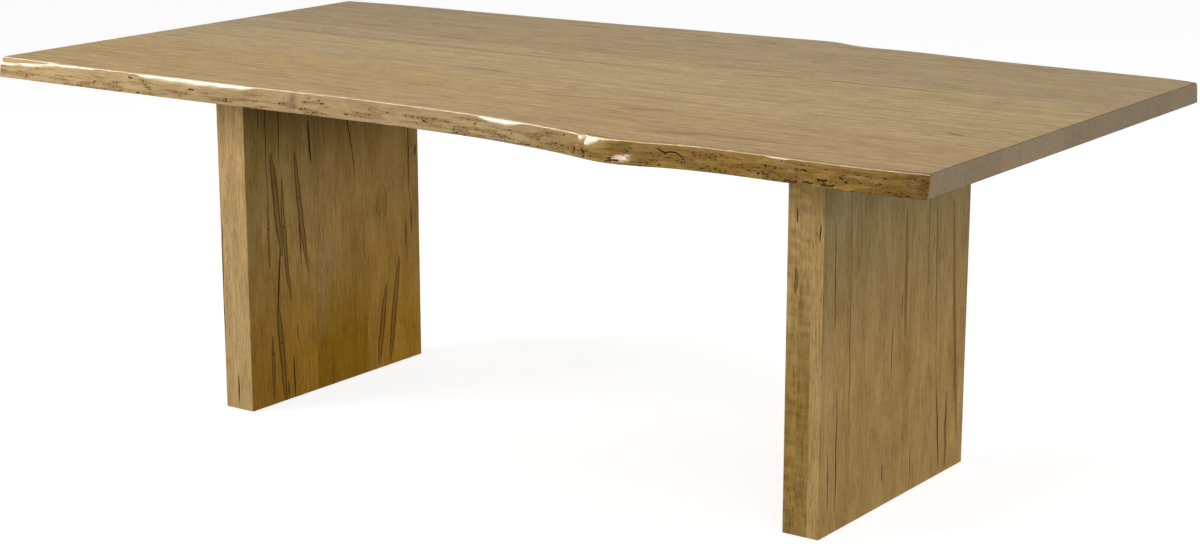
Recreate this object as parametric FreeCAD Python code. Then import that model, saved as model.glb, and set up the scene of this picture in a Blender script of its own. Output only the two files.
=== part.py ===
import FreeCAD, Part
import math
import os

# Double pedestal dining table: a live-edge top glued up from boards stands on two slab legs,
# each laminated from three plies of upright staves. A steel plate joins each leg to the top,
# and every leg stands on two levelling feet that screw in and out.
# Millimetres. X runs along the top, Y from the front live edge to the back one, +Z is up.
# The origin is on the floor, under the centre of the overall box.

V = FreeCAD.Vector
UP = V(0, 0, 1)
DOWN = V(0, 0, -1)

# Overall sizes
TABLE_HEIGHT = 762.0
TOP_LENGTH = 2140.0
TOP_WIDTH = 1232.0  # between the widest points of the two live edges
TOP_THICKNESS = 41.0
END_ARRIS = 2.0  # rounding of the sawn ends' edges

# Live edges: points along the top, each with how far it stands back from the widest line
EDGE_WANDER = 84.0  # the furthest that an edge stands back from the widest line
EDGE_LEAN = 11.0  # how far the upper rim stands in from the lower one
SHOULDER_DROP = 12.0  # height of the rounded shoulder under the top face
SHOULDER_LEAN_SHARE = 0.3  # part of the lean that is left at the foot of the shoulder
FRONT_EDGE_SHARES = (
    (0.0, 0.44), (0.09, 0.48), (0.19, 0.55), (0.29, 0.63), (0.385, 0.73), (0.48, 0.785),
    (0.535, 0.765), (0.58, 0.71), (0.625, 0.56), (0.672, 0.33), (0.70, 0.13), (0.73, 0.0),
    (0.756, 0.14), (0.775, 0.28), (0.81, 0.40), (0.86, 0.42), (0.916, 0.39), (0.964, 0.43),
    (1.0, 0.55),
)
BACK_EDGE_SHARES = (
    (0.0, 1.0), (0.04, 0.88), (0.095, 0.75), (0.15, 0.70), (0.255, 0.58), (0.355, 0.45),
    (0.45, 0.24), (0.545, 0.09), (0.59, 0.0), (0.614, 0.05), (0.629, 0.20), (0.643, 0.30),
    (0.687, 0.32), (0.732, 0.38), (0.777, 0.49), (0.862, 0.56), (0.942, 0.60), (0.982, 0.69),
    (1.0, 0.82),
)

# Boards of the top: glue lines from the front, as shares of the width
GLUE_LINE_SHARES = (0.143, 0.248, 0.343, 0.447, 0.542, 0.638, 0.724, 0.833)

# Dowels across the glue lines, placed from the middle as shares of half the length
DOWEL_RADIUS = 5.0
DOWEL_LENGTH = 60.0
DOWEL_CHAMFER = 1.0
DOWEL_END_ROOM = 1.5  # room for glue at each end of a dowel
DOWEL_PLACE_SHARES = (-0.86, -0.46, -0.14, 0.14, 0.46, 0.86)

# Legs
END_OVERHANG = 377.0  # from a sawn end of the top to the middle of its leg
LEG_DEPTH = 565.0
LEG_FORWARD = 15.0  # how far the legs' middle stands in front of the origin
PLY_THICKNESS = 25.4
PLY_COUNT = 3
LEG_ARRIS = 2.0

# Staves: joints in each ply from the front, as shares of the leg's depth, plies in order of X
STAVE_JOINT_SHARES = {
    "left": (("outer", (0.33, 0.64)), ("core", (0.30, 0.62)), ("inner", (0.37, 0.67))),
    "right": (("inner", (0.36, 0.68)), ("core", (0.26, 0.58)), ("outer", (0.18, 0.47, 0.75))),
}

# Mounting plates, let into the underside of the top
PLATE_THICKNESS = 6.0
PLATE_WIDTH = 190.0
PLATE_END_MARGIN = 30.0  # from the last bolt to the end of the plate
PLATE_CORNER = 12.0
RECESS_SIDE_ROOM = 1.0
RECESS_END_ROOM = 4.0  # lets the wide top swell and shrink past the plate

# Wood screws from the plate into the leg, placed as shares of the leg's depth
SCREW_RADIUS = 3.5
SCREW_LENGTH = 100.0
SCREW_TIP = 8.0
SCREW_HEAD_RADIUS = 7.0
SCREW_HEAD_DEPTH = 3.5
SCREW_SOCKET_RADIUS = 2.5
SCREW_SOCKET_DEPTH = 2.4
SCREW_PLACE_SHARES = (0.14, 0.28, 0.56, 0.84)

# Bolts, washers and threaded inserts that hold the plate to the top
BOLT_RADIUS = 4.0
BOLT_HEAD_RADIUS = 7.0
BOLT_HEAD_HEIGHT = 4.4
BOLT_HEAD_RIM = 1.0  # straight wall under the domed head
BOLT_SOCKET_RADIUS = 2.9
BOLT_SOCKET_DEPTH = 2.6
BOLT_END_ROOM = 2.0  # from the bolt's end to the end of its insert
BOLT_EDGE_MARGIN = 29.0  # from the middle of a bolt to the long edge of the plate
WASHER_RADIUS = 9.0
WASHER_THICKNESS = 1.6
SLOT_LENGTH = 21.0
INSERT_RADIUS = 6.0
INSERT_LENGTH = 20.0
INSERT_END_ROOM = 2.0
INSERT_CHAMFER = 0.8
INSERT_BOARDS = (2, 4, 6)  # boards that carry inserts, counted from the front live board
INSERT_PLACE_SHARES = (0.65, 0.5, 0.38)  # place across each of those boards

# Levelling feet
FOOT_INSET = 75.0  # from the leg's narrow face to the middle of the foot
FOOT_REVEAL = 3.0  # gap between the floor and the leg
FOOT_TRAVEL = 12.0  # how far a foot screws out
PAD_RADIUS = 18.0
PAD_HEIGHT = 9.0
PAD_CHAMFER = 1.5
PAD_FLOOR = 3.0  # thickness of the pad under the stem's flange
KEY_HOLE_RADIUS = 4.5
FLANGE_RADIUS = 8.0
FLANGE_THICKNESS = 3.0
STEM_RADIUS = 5.0
STEM_SPARE = 4.0  # stem left above the bush when the foot is right out
STEM_CHAMFER = 1.0
STEM_SOCKET_RADIUS = 2.9
STEM_SOCKET_DEPTH = 5.0
BUSH_RADIUS = 8.0
BUSH_LENGTH = 25.0
BUSH_CHAMFER = 1.0

# Clearances
HOLE_CLEARANCE = 0.1  # radial, round what is glued or screwed in
RUNNING_CLEARANCE = 0.05  # radial, round what turns
SEAT_GAP = 0.3  # between the pad and the leg when the foot is right in
FREE_CLEARANCE = 0.5  # radial, round what passes freely
PAD_CLEARANCE = 2.0  # radial, round the pad
OVERRUN = 5.0  # how far a cut runs past a face

# Levels and places that follow from the sizes
UNDERSIDE = TABLE_HEIGHT - TOP_THICKNESS
PLATE_TOP = UNDERSIDE + PLATE_THICKNESS
DOWEL_LEVEL = UNDERSIDE + TOP_THICKNESS / 2
LEG_THICKNESS = PLY_THICKNESS * PLY_COUNT
LEG_FRONT = -LEG_FORWARD - LEG_DEPTH / 2
LEG_REACH = TOP_LENGTH / 2 - END_OVERHANG
LEG_PLACES = {"left": -LEG_REACH, "right": LEG_REACH}
FOOT_PLACES = {"front": LEG_FRONT + FOOT_INSET, "back": LEG_FRONT + LEG_DEPTH - FOOT_INSET}
RECESS_CEILING = PAD_HEIGHT + SEAT_GAP
BUSH_TOP = RECESS_CEILING + BUSH_LENGTH
FLANGE_TOP = PAD_FLOOR + FLANGE_THICKNESS
STEM_TOP = BUSH_TOP + FOOT_TRAVEL + STEM_SPARE
BOLT_REACH = PLATE_WIDTH / 2 - BOLT_EDGE_MARGIN


def edges_along(shape, direction):
    """Straight edges of a box that run along one direction."""
    found = []
    for edge in shape.Edges:
        run = edge.Vertexes[1].Point.sub(edge.Vertexes[0].Point).normalize()
        if abs(run.dot(direction)) > math.cos(math.radians(1)):
            found.append(edge)
    return found


def turned(points, place):
    """Solid turned about the upright axis through place from (radius, level) points."""
    outline = Part.makePolygon([V(radius, 0, level) for radius, level in points + points[:1]])
    solid = Part.Face(outline).revolve(V(0, 0, 0), UP, 360)
    solid.translate(place)
    return solid


def hex_prism(radius, depth, place, direction):
    """Six-sided prism from place along an upright direction, for a key socket."""
    corners = [V(radius * math.cos(math.radians(60 * step)), radius * math.sin(math.radians(60 * step)), 0)
               for step in range(7)]
    prism = Part.Face(Part.makePolygon(corners)).extrude(direction * depth)
    prism.translate(place)
    return prism


def without(shape, cutters):
    """Shape less the cutters that come near it."""
    near = [cutter for cutter in cutters if shape.BoundBox.intersect(cutter.BoundBox)]
    return shape.cut(near) if near else shape


def one_solid(shape):
    """The single solid of a shape."""
    solid, = shape.Solids
    return solid


# Top

def glue_lines():
    """Y of each glue line, from the front."""
    return [-TOP_WIDTH / 2 + share * TOP_WIDTH for share in GLUE_LINE_SHARES]


def rim(edge_shares, side, lean, level):
    """Curve along a live edge at one level; side is -1 at the front and 1 at the back."""
    points = []
    for along_share, back_share in edge_shares:
        x = -TOP_LENGTH / 2 + along_share * TOP_LENGTH
        y = side * (TOP_WIDTH / 2 - back_share * EDGE_WANDER - lean)
        points.append(V(x, y, level))
    curve = Part.BSplineCurve()
    curve.interpolate(points)
    return curve.toShape()


def live_board(edge_shares, side, glue_line):
    """Board between a glue line and a live edge, which leans in above its rounded shoulder."""
    levels = (
        (UNDERSIDE, 0),
        (TABLE_HEIGHT - SHOULDER_DROP, EDGE_LEAN * SHOULDER_LEAN_SHARE),
        (TABLE_HEIGHT, EDGE_LEAN),
    )
    sections = []
    for level, lean in levels:
        edge = rim(edge_shares, side, lean, level)
        first = edge.valueAt(edge.FirstParameter)
        last = edge.valueAt(edge.LastParameter)
        inner_first = V(first.x, glue_line, level)
        inner_last = V(last.x, glue_line, level)
        sides = Part.makePolygon([last, inner_last, inner_first, first]).Edges
        sections.append(Part.Wire([edge] + sides))
    return Part.makeLoft(sections, True, True)


def slab_blank():
    """Block of the whole top with its two sawn ends eased."""
    depth = TOP_WIDTH + 2 * OVERRUN
    corner = V(-TOP_LENGTH / 2, -depth / 2, UNDERSIDE)
    blank = Part.makeBox(TOP_LENGTH, depth, TOP_THICKNESS, corner)
    return blank.makeFillet(END_ARRIS, edges_along(blank, V(0, 1, 0)))


def dowel_places():
    """Middle of every dowel."""
    places = []
    for y in glue_lines():
        for share in DOWEL_PLACE_SHARES:
            places.append(V(share * TOP_LENGTH / 2, y, DOWEL_LEVEL))
    return places


def dowel(place, radius, length):
    """Round bar across a glue line."""
    return Part.makeCylinder(radius, length, place - V(0, length / 2, 0), V(0, 1, 0))


def dowel_holes():
    """Holes that take the dowels, with room for glue at both ends."""
    length = DOWEL_LENGTH + 2 * DOWEL_END_ROOM
    return [dowel(place, DOWEL_RADIUS + HOLE_CLEARANCE, length) for place in dowel_places()]


def top_dowels():
    """All the dowels, with their ends chamfered."""
    dowels = []
    for place in dowel_places():
        bar = dowel(place, DOWEL_RADIUS, DOWEL_LENGTH)
        rims = [edge for edge in bar.Edges if edge.Closed]
        dowels.append(bar.makeChamfer(DOWEL_CHAMFER, rims))
    return Part.makeCompound(dowels)


def top_boards():
    """Every board of the top by name, let in for the plates, inserts and dowels."""
    lines = glue_lines()
    rough = {"front_live_board": live_board(FRONT_EDGE_SHARES, -1, lines[0])}
    for number, (near, far) in enumerate(zip(lines, lines[1:]), 1):
        corner = V(-TOP_LENGTH / 2, near, UNDERSIDE)
        rough["top_board_%d" % number] = Part.makeBox(TOP_LENGTH, far - near, TOP_THICKNESS, corner)
    rough["back_live_board"] = live_board(BACK_EDGE_SHARES, 1, lines[-1])
    cutters = dowel_holes()
    for leg_x in LEG_PLACES.values():
        cutters.append(plate_recess(leg_x))
        cutters += insert_holes(leg_x)
    blank = slab_blank()
    return {name: one_solid(without(board.common(blank), cutters)) for name, board in rough.items()}


# Plates, bolts, washers and inserts

def bolt_rows():
    """Y of the bolts, set in the boards that carry their inserts."""
    lines = glue_lines()
    rows = []
    for board, share in zip(INSERT_BOARDS, INSERT_PLACE_SHARES):
        near, far = lines[board - 1], lines[board]
        rows.append(near + share * (far - near))
    return rows


def bolt_places(leg_x, level):
    """Middle of each bolt of one leg at one level."""
    places = []
    for side in (-1, 1):
        for y in bolt_rows():
            places.append(V(leg_x + side * BOLT_REACH, y, level))
    return places


def screw_places(leg_x, level):
    """Middle of each wood screw of one leg at one level, in the two outer plies."""
    places = []
    for side in (-1, 1):
        for share in SCREW_PLACE_SHARES:
            places.append(V(leg_x + side * PLY_THICKNESS, LEG_FRONT + share * LEG_DEPTH, level))
    return places


def plate_block(leg_x, side_room, end_room):
    """Plain block of one plate with room round it, its upright corners rounded."""
    rows = bolt_rows()
    width = PLATE_WIDTH + 2 * side_room
    length = rows[-1] - rows[0] + 2 * (PLATE_END_MARGIN + end_room)
    corner = V(leg_x - width / 2, rows[0] - PLATE_END_MARGIN - end_room, UNDERSIDE)
    block = Part.makeBox(width, length, PLATE_THICKNESS, corner)
    return block.makeFillet(PLATE_CORNER, edges_along(block, UP))


def plate_recess(leg_x):
    """Space in the underside of the top that takes one plate."""
    block = plate_block(leg_x, RECESS_SIDE_ROOM, RECESS_END_ROOM)
    below = block.copy()
    below.translate(DOWN * PLATE_THICKNESS)
    return block.fuse(below).removeSplitter()


def bolt_slot(place):
    """Slot along Y through the plate for one bolt."""
    radius = BOLT_RADIUS + FREE_CLEARANCE
    straight = SLOT_LENGTH - 2 * radius
    depth = PLATE_THICKNESS + 2 * OVERRUN
    bottom = place - V(0, 0, OVERRUN)
    slot = Part.makeBox(2 * radius, straight, depth, bottom - V(radius, straight / 2, 0))
    for side in (-1, 1):
        slot = slot.fuse(Part.makeCylinder(radius, depth, bottom + V(0, side * straight / 2, 0)))
    return slot.removeSplitter()


def mount_plate(leg_x):
    """Steel plate with slots for the bolts and countersunk holes for the wood screws."""
    cutters = [bolt_slot(place) for place in bolt_places(leg_x, UNDERSIDE)]
    for place in screw_places(leg_x, PLATE_TOP):
        shank = SCREW_RADIUS + FREE_CLEARANCE
        head = SCREW_HEAD_RADIUS + HOLE_CLEARANCE
        cutters.append(turned([
            (0, OVERRUN), (head, OVERRUN), (head, 0), (shank, shank - head),
            (shank, -PLATE_THICKNESS - OVERRUN), (0, -PLATE_THICKNESS - OVERRUN),
        ], place))
    return one_solid(plate_block(leg_x, 0, 0).cut(cutters))


def leg_screw(place):
    """Countersunk wood screw with a key socket, its head flush at place."""
    screw = turned([
        (0, 0), (SCREW_HEAD_RADIUS, 0), (SCREW_RADIUS, -SCREW_HEAD_DEPTH),
        (SCREW_RADIUS, SCREW_TIP - SCREW_LENGTH), (0, -SCREW_LENGTH),
    ], place)
    return screw.cut(hex_prism(SCREW_SOCKET_RADIUS, SCREW_SOCKET_DEPTH, place, DOWN))


def leg_screws(leg_x):
    """All the wood screws of one leg."""
    return Part.makeCompound([leg_screw(place) for place in screw_places(leg_x, PLATE_TOP)])


def screw_holes(leg_x):
    """Holes in the leg that take the wood screws."""
    depth = SCREW_LENGTH - PLATE_THICKNESS + OVERRUN
    holes = []
    for place in screw_places(leg_x, UNDERSIDE):
        holes.append(Part.makeCylinder(SCREW_RADIUS + HOLE_CLEARANCE, depth + OVERRUN,
                                       place + UP * OVERRUN, DOWN))
    return holes


def top_washers(leg_x):
    """Washers of one leg, under its plate."""
    washers = []
    for place in bolt_places(leg_x, UNDERSIDE - WASHER_THICKNESS):
        disc = Part.makeCylinder(WASHER_RADIUS, WASHER_THICKNESS, place)
        washers.append(disc.cut(Part.makeCylinder(BOLT_RADIUS + FREE_CLEARANCE, WASHER_THICKNESS, place)))
    return Part.makeCompound(washers)


def top_bolt(place):
    """Button-head bolt that points up from the underside of its washer at place."""
    length = WASHER_THICKNESS + PLATE_THICKNESS + INSERT_LENGTH - BOLT_END_ROOM
    shank = Part.makeCylinder(BOLT_RADIUS - RUNNING_CLEARANCE, length, place)
    dome_height = BOLT_HEAD_HEIGHT - BOLT_HEAD_RIM
    dome_radius = (BOLT_HEAD_RADIUS ** 2 + dome_height ** 2) / (2 * dome_height)
    ball = Part.makeSphere(dome_radius, place + UP * (dome_radius - BOLT_HEAD_HEIGHT))
    head = Part.makeCylinder(BOLT_HEAD_RADIUS, BOLT_HEAD_HEIGHT, place, DOWN).common(ball)
    bolt = head.fuse(shank).removeSplitter()
    bottom = place + DOWN * BOLT_HEAD_HEIGHT
    return bolt.cut(hex_prism(BOLT_SOCKET_RADIUS, BOLT_SOCKET_DEPTH, bottom, UP))


def top_bolts(leg_x):
    """All the bolts of one leg."""
    places = bolt_places(leg_x, UNDERSIDE - WASHER_THICKNESS)
    return Part.makeCompound([one_solid(top_bolt(place)) for place in places])


def tube(radius, bore, length, chamfer, place):
    """Upright tube from place, with its outer rims chamfered."""
    return turned([
        (bore, 0), (radius - chamfer, 0), (radius, chamfer), (radius, length - chamfer),
        (radius - chamfer, length), (bore, length),
    ], place)


def top_inserts(leg_x):
    """Threaded inserts of one leg, in the top above the plate."""
    places = bolt_places(leg_x, PLATE_TOP)
    return Part.makeCompound([tube(INSERT_RADIUS, BOLT_RADIUS, INSERT_LENGTH, INSERT_CHAMFER, place)
                              for place in places])


def insert_holes(leg_x):
    """Blind holes in the top that take the inserts."""
    depth = INSERT_LENGTH + INSERT_END_ROOM
    return [Part.makeCylinder(INSERT_RADIUS + HOLE_CLEARANCE, depth, place)
            for place in bolt_places(leg_x, PLATE_TOP)]


# Legs

def leg_blank(leg_x):
    """Block of one whole leg with its upright edges eased."""
    corner = V(leg_x - LEG_THICKNESS / 2, LEG_FRONT, FOOT_REVEAL)
    blank = Part.makeBox(LEG_THICKNESS, LEG_DEPTH, UNDERSIDE - FOOT_REVEAL, corner)
    return blank.makeFillet(LEG_ARRIS, edges_along(blank, UP))


def leg_staves(side):
    """Every stave of one leg by name, bored for its screws and feet."""
    leg_x = LEG_PLACES[side]
    blank = leg_blank(leg_x)
    cutters = screw_holes(leg_x) + foot_holes(leg_x)
    staves = {}
    for layer, (ply, shares) in enumerate(STAVE_JOINT_SHARES[side]):
        x = leg_x - LEG_THICKNESS / 2 + layer * PLY_THICKNESS
        joints = [LEG_FRONT + share * LEG_DEPTH for share in (0,) + shares + (1,)]
        for number, (near, far) in enumerate(zip(joints, joints[1:]), 1):
            block = Part.makeBox(PLY_THICKNESS, far - near, UNDERSIDE - FOOT_REVEAL, V(x, near, FOOT_REVEAL))
            stave = without(block.common(blank), cutters)
            staves["%s_leg_%s_%d" % (side, ply, number)] = one_solid(stave)
    return staves


# Levelling feet

def foot_holes(leg_x):
    """Spaces in the bottom of one leg for its pads, bushes and stems."""
    holes = []
    for y in FOOT_PLACES.values():
        pad = PAD_RADIUS + PAD_CLEARANCE
        bush = BUSH_RADIUS + HOLE_CLEARANCE
        stem = STEM_RADIUS + FREE_CLEARANCE
        holes.append(turned([
            (0, -OVERRUN), (pad, -OVERRUN), (pad, RECESS_CEILING), (bush, RECESS_CEILING), (bush, BUSH_TOP),
            (stem, BUSH_TOP), (stem, STEM_TOP + OVERRUN), (0, STEM_TOP + OVERRUN),
        ], V(leg_x, y, 0)))
    return holes


def foot_bushes(leg_x):
    """Threaded bushes of one leg."""
    return Part.makeCompound([
        tube(BUSH_RADIUS, STEM_RADIUS, BUSH_LENGTH, BUSH_CHAMFER, V(leg_x, y, RECESS_CEILING))
        for y in FOOT_PLACES.values()
    ])


def foot_stem(place):
    """Threaded stem with a flange that turns in the pad and a key socket in its underside."""
    shank = STEM_RADIUS - RUNNING_CLEARANCE
    stem = turned([
        (0, PAD_FLOOR), (FLANGE_RADIUS, PAD_FLOOR), (FLANGE_RADIUS, FLANGE_TOP), (shank, FLANGE_TOP),
        (shank, STEM_TOP - STEM_CHAMFER), (shank - STEM_CHAMFER, STEM_TOP), (0, STEM_TOP),
    ], place)
    return one_solid(stem.cut(hex_prism(STEM_SOCKET_RADIUS, STEM_SOCKET_DEPTH, place + UP * PAD_FLOOR, UP)))


def foot_pad(place):
    """Round pad that holds the stem's flange and lets a key in from below."""
    pocket = FLANGE_RADIUS + RUNNING_CLEARANCE
    neck = STEM_RADIUS + FREE_CLEARANCE
    floor = PAD_FLOOR - RUNNING_CLEARANCE
    lip = FLANGE_TOP + RUNNING_CLEARANCE
    return turned([
        (KEY_HOLE_RADIUS, 0), (PAD_RADIUS - PAD_CHAMFER, 0), (PAD_RADIUS, PAD_CHAMFER),
        (PAD_RADIUS, PAD_HEIGHT - PAD_CHAMFER), (PAD_RADIUS - PAD_CHAMFER, PAD_HEIGHT), (neck, PAD_HEIGHT),
        (neck, lip), (pocket, lip), (pocket, floor), (KEY_HOLE_RADIUS, floor),
    ], place)


def all_parts():
    """Every piece of the table by its node's name."""
    parts = top_boards()
    parts["top_dowels"] = top_dowels()
    for side, leg_x in LEG_PLACES.items():
        parts.update(leg_staves(side))
        parts[side + "_mount_plate"] = mount_plate(leg_x)
        parts[side + "_leg_screws"] = leg_screws(leg_x)
        parts[side + "_top_bolts"] = top_bolts(leg_x)
        parts[side + "_top_washers"] = top_washers(leg_x)
        parts[side + "_top_inserts"] = top_inserts(leg_x)
        parts[side + "_foot_bushes"] = foot_bushes(leg_x)
        for end, y in FOOT_PLACES.items():
            parts["%s_%s_foot_stem" % (side, end)] = foot_stem(V(leg_x, y, 0))
            parts["%s_%s_foot_pad" % (side, end)] = foot_pad(V(leg_x, y, 0))
    return parts


os.makedirs("parts", exist_ok=True)
for name, shape in all_parts().items():
    shape.exportStep("parts/" + name + ".step")
    print(name, len(shape.Solids), "solids", round(shape.Volume / 1000, 2), "cm3")
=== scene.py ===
import logging
import math
import random
from dataclasses import dataclass
from enum import Enum
from typing import Any, ClassVar, Optional, Sequence, Union

import bpy
import numpy as np
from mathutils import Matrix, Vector, noise


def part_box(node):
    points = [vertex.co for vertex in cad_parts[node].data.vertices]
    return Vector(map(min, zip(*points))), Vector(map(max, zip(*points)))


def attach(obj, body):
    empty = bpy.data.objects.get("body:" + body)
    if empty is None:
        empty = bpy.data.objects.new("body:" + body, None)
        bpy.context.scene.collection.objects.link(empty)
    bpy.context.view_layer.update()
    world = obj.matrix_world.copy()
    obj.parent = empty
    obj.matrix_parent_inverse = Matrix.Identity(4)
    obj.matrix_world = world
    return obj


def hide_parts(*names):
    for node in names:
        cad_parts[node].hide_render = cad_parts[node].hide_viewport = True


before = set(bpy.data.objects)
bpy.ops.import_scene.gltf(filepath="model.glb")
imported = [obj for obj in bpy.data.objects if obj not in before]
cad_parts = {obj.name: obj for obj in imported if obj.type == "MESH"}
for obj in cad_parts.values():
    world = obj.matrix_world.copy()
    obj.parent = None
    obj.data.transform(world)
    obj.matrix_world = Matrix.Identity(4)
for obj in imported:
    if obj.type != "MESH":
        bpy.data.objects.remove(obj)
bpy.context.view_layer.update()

LOG = logging.getLogger("table")
MM = 0.001
ROOT_BODY = "table"
Pair = tuple[float, float]
Triple = tuple[float, float, float]

# Blender's names for the nodes that are used most.
MATH = "ShaderNodeMath"
VECTOR = "ShaderNodeVectorMath"
RANGE = "ShaderNodeMapRange"
MIX = "ShaderNodeMix"
NOISE = "ShaderNodeTexNoise"

UNIT = (0.0, 1.0)
WHITE = "#FFFFFF"
# Middle of a noise, and the band that holds nearly all its values.
MIDDLE = (0.5, 0.5, 0.5)
SPREAD = (0.3, 0.7)
# How squarely a face looks along Y where it starts to count as narrow, and where it fully does.
NARROW_SEEN = (0.5, 0.9)


def linear(code: str) -> tuple[float, float, float, float]:
    """Turns an sRGB hex colour into the linear colour that shaders take.

    Args:
        code: Colour as "#RRGGBB".

    Returns:
        Linear red, green, blue and an alpha of one.
    """
    shares = [int(code[at:at + 2], 16) / 255 for at in (1, 3, 5)]
    red, green, blue = (s / 12.92 if s <= 0.04045 else ((s + 0.055) / 1.055) ** 2.4 for s in shares)
    return red, green, blue, 1.0


def add(tree: bpy.types.NodeTree, kind: str, inputs: Union[dict, Sequence] = (), **settings: Any) -> Any:
    """Adds one node with its settings, and links or sets its inputs.

    Args:
        tree: Tree that the node goes into.
        kind: Blender's name for the sort of node.
        inputs: Sockets to link or values to set, by name or in order.
        **settings: Properties of the node itself.

    Returns:
        The node's first usable output, or None if it has none.
    """
    node = tree.nodes.new(kind)
    for name, value in settings.items():
        setattr(node, name, value)
    usable = [socket for socket in node.inputs if not socket.is_unavailable]
    for key, value in inputs.items() if isinstance(inputs, dict) else enumerate(inputs):
        socket = usable[key] if isinstance(key, int) else next(s for s in usable if s.name == key)
        if isinstance(value, bpy.types.NodeSocket):
            tree.links.new(value, socket)
        else:
            socket.default_value = value
    return next((socket for socket in node.outputs if not socket.is_unavailable), None)


def new_group(name: str, kind: str, takes: dict[str, str], gives: dict[str, str]) -> tuple[Any, Any]:
    """Starts a node group with named sockets.

    Args:
        name: Name of the group.
        kind: "ShaderNodeTree" or "GeometryNodeTree".
        takes: Names of the inputs, each with its sort of socket.
        gives: Names of the outputs, each with its sort of socket.

    Returns:
        The group and the sockets of its input node.
    """
    tree = bpy.data.node_groups.new(name, kind)
    for way, sockets in (("INPUT", takes), ("OUTPUT", gives)):
        for label, sort in sockets.items():
            tree.interface.new_socket(label, in_out=way, socket_type="NodeSocket" + sort)
    return tree, tree.nodes.new("NodeGroupInput").outputs


def new_material(name: str) -> bpy.types.Material:
    """Starts a material with an empty node tree.

    Args:
        name: Name of the real material.

    Returns:
        The material.
    """
    material = bpy.data.materials.new(name)
    material.use_nodes = True
    material.node_tree.nodes.clear()
    return material


def grid(tree: Any, point: Any, size_mm: Pair) -> Any:
    """Stretches a point so that one unit is one figure long and one figure wide.

    Args:
        tree: Tree to work in.
        point: Point with the fibres along X, in metres.
        size_mm: Length and width of the figure.

    Returns:
        Socket with the stretched point.
    """
    along, across = (1.0 / (size * MM) for size in size_mm)
    return add(tree, VECTOR, (point, (along, across, across)), operation="MULTIPLY")


def patches(tree: Any, point: Any, size_mm: Pair, detail: float = 2.0) -> Any:
    """Draws soft random patches of a real size.

    Args:
        tree: Tree to work in.
        point: Point with the fibres along X, in metres.
        size_mm: Length and width of a patch.
        detail: Octaves of finer patches inside it.

    Returns:
        Socket with the patches, spread about a half.
    """
    lie = grid(tree, point, size_mm)
    return add(tree, NOISE, {"Vector": lie, "Scale": 1.0, "Detail": detail})


def narrow_face(tree: Any) -> Any:
    """Tells the narrow faces of an upright stave, square to Y, from its broad ones.

    Args:
        tree: Material tree.

    Returns:
        Socket that is one on the narrow faces.
    """
    way = add(tree, "ShaderNodeTexCoord").node.outputs["Normal"]
    side = add(tree, "ShaderNodeSeparateXYZ", (way,)).node.outputs["Y"]
    side = add(tree, MATH, (side,), operation="ABSOLUTE")
    return add(tree, RANGE, (side, *NARROW_SEEN, *UNIT))


def dress(node: str, material: bpy.types.Material) -> None:
    """Gives a CAD node its material.

    Args:
        node: Name of the CAD node.
        material: Finish that its slots take.
    """
    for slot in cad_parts[node].material_slots:
        slot.material = material
    LOG.info("dressed %s in %s", node, material.name)


def new_piece(name: str, mesh: bpy.types.Mesh, body: str, node: str) -> None:
    """Shows a mesh in place of a CAD node, riding its body.

    Args:
        name: Name of the piece.
        mesh: Its mesh, already in place.
        body: CAD body that it rides.
        node: CAD node that it stands for.
    """
    piece = bpy.data.objects.new(name, mesh)
    bpy.context.scene.collection.objects.link(piece)
    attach(piece, body)
    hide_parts(node)
    LOG.info("made %s with %d faces", name, len(mesh.polygons))


def grown(seedling: bpy.types.Mesh, tree: bpy.types.NodeTree, given: dict[str, Any]) -> bpy.types.Mesh:
    """Runs a mesh through Geometry Nodes and returns what comes out as a plain mesh.

    Args:
        seedling: Mesh that the tree starts from.
        tree: Geometry Nodes tree.
        given: Values for the tree's inputs, by name.

    Returns:
        The evaluated mesh.
    """
    host = bpy.data.objects.new(seedling.name, seedling)
    bpy.context.scene.collection.objects.link(host)
    modifier = host.modifiers.new(tree.name, "NODES")
    modifier.node_group = tree
    for item in tree.interface.items_tree:
        if item.in_out == "INPUT" and item.name in given:
            modifier[item.identifier] = given[item.name]
    shown = host.evaluated_get(bpy.context.evaluated_depsgraph_get())
    mesh = bpy.data.meshes.new_from_object(shown)
    bpy.data.objects.remove(host)
    return mesh


def tube_faces(rings: int, sides: int) -> list[tuple[int, ...]]:
    """Joins rings of points into a tube that is closed at both ends.

    Args:
        rings: How many rings there are.
        sides: How many points each has.

    Returns:
        Faces by the numbers of their points.
    """
    faces = []
    for near in range(0, (rings - 1) * sides, sides):
        far = near + sides
        for side in range(sides):
            after = (side + 1) % sides
            faces.append((near + side, near + after, far + after, far + side))
    last = (rings - 1) * sides
    return faces + [tuple(range(sides))[::-1], tuple(range(last, last + sides))]


class Grain(Enum):
    """Way that the fibres of a board run, as the turn that lays them along X."""

    LENGTHWISE = (0.0, 0.0, 0.0)
    UPRIGHT = (0.0, math.pi / 2, 0.0)

    @property
    def fibre(self) -> Triple:
        """Direction of the fibres in the part's frame."""
        return (1.0, 0.0, 0.0) if self is Grain.LENGTHWISE else (0.0, 0.0, 1.0)


class Face(Enum):
    """Face that a streak lies in, as the turn about the fibres that lays it flat."""

    BROAD = (0.0, 0.0, 0.0)
    NARROW = (math.pi / 2, 0.0, 0.0)


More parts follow.
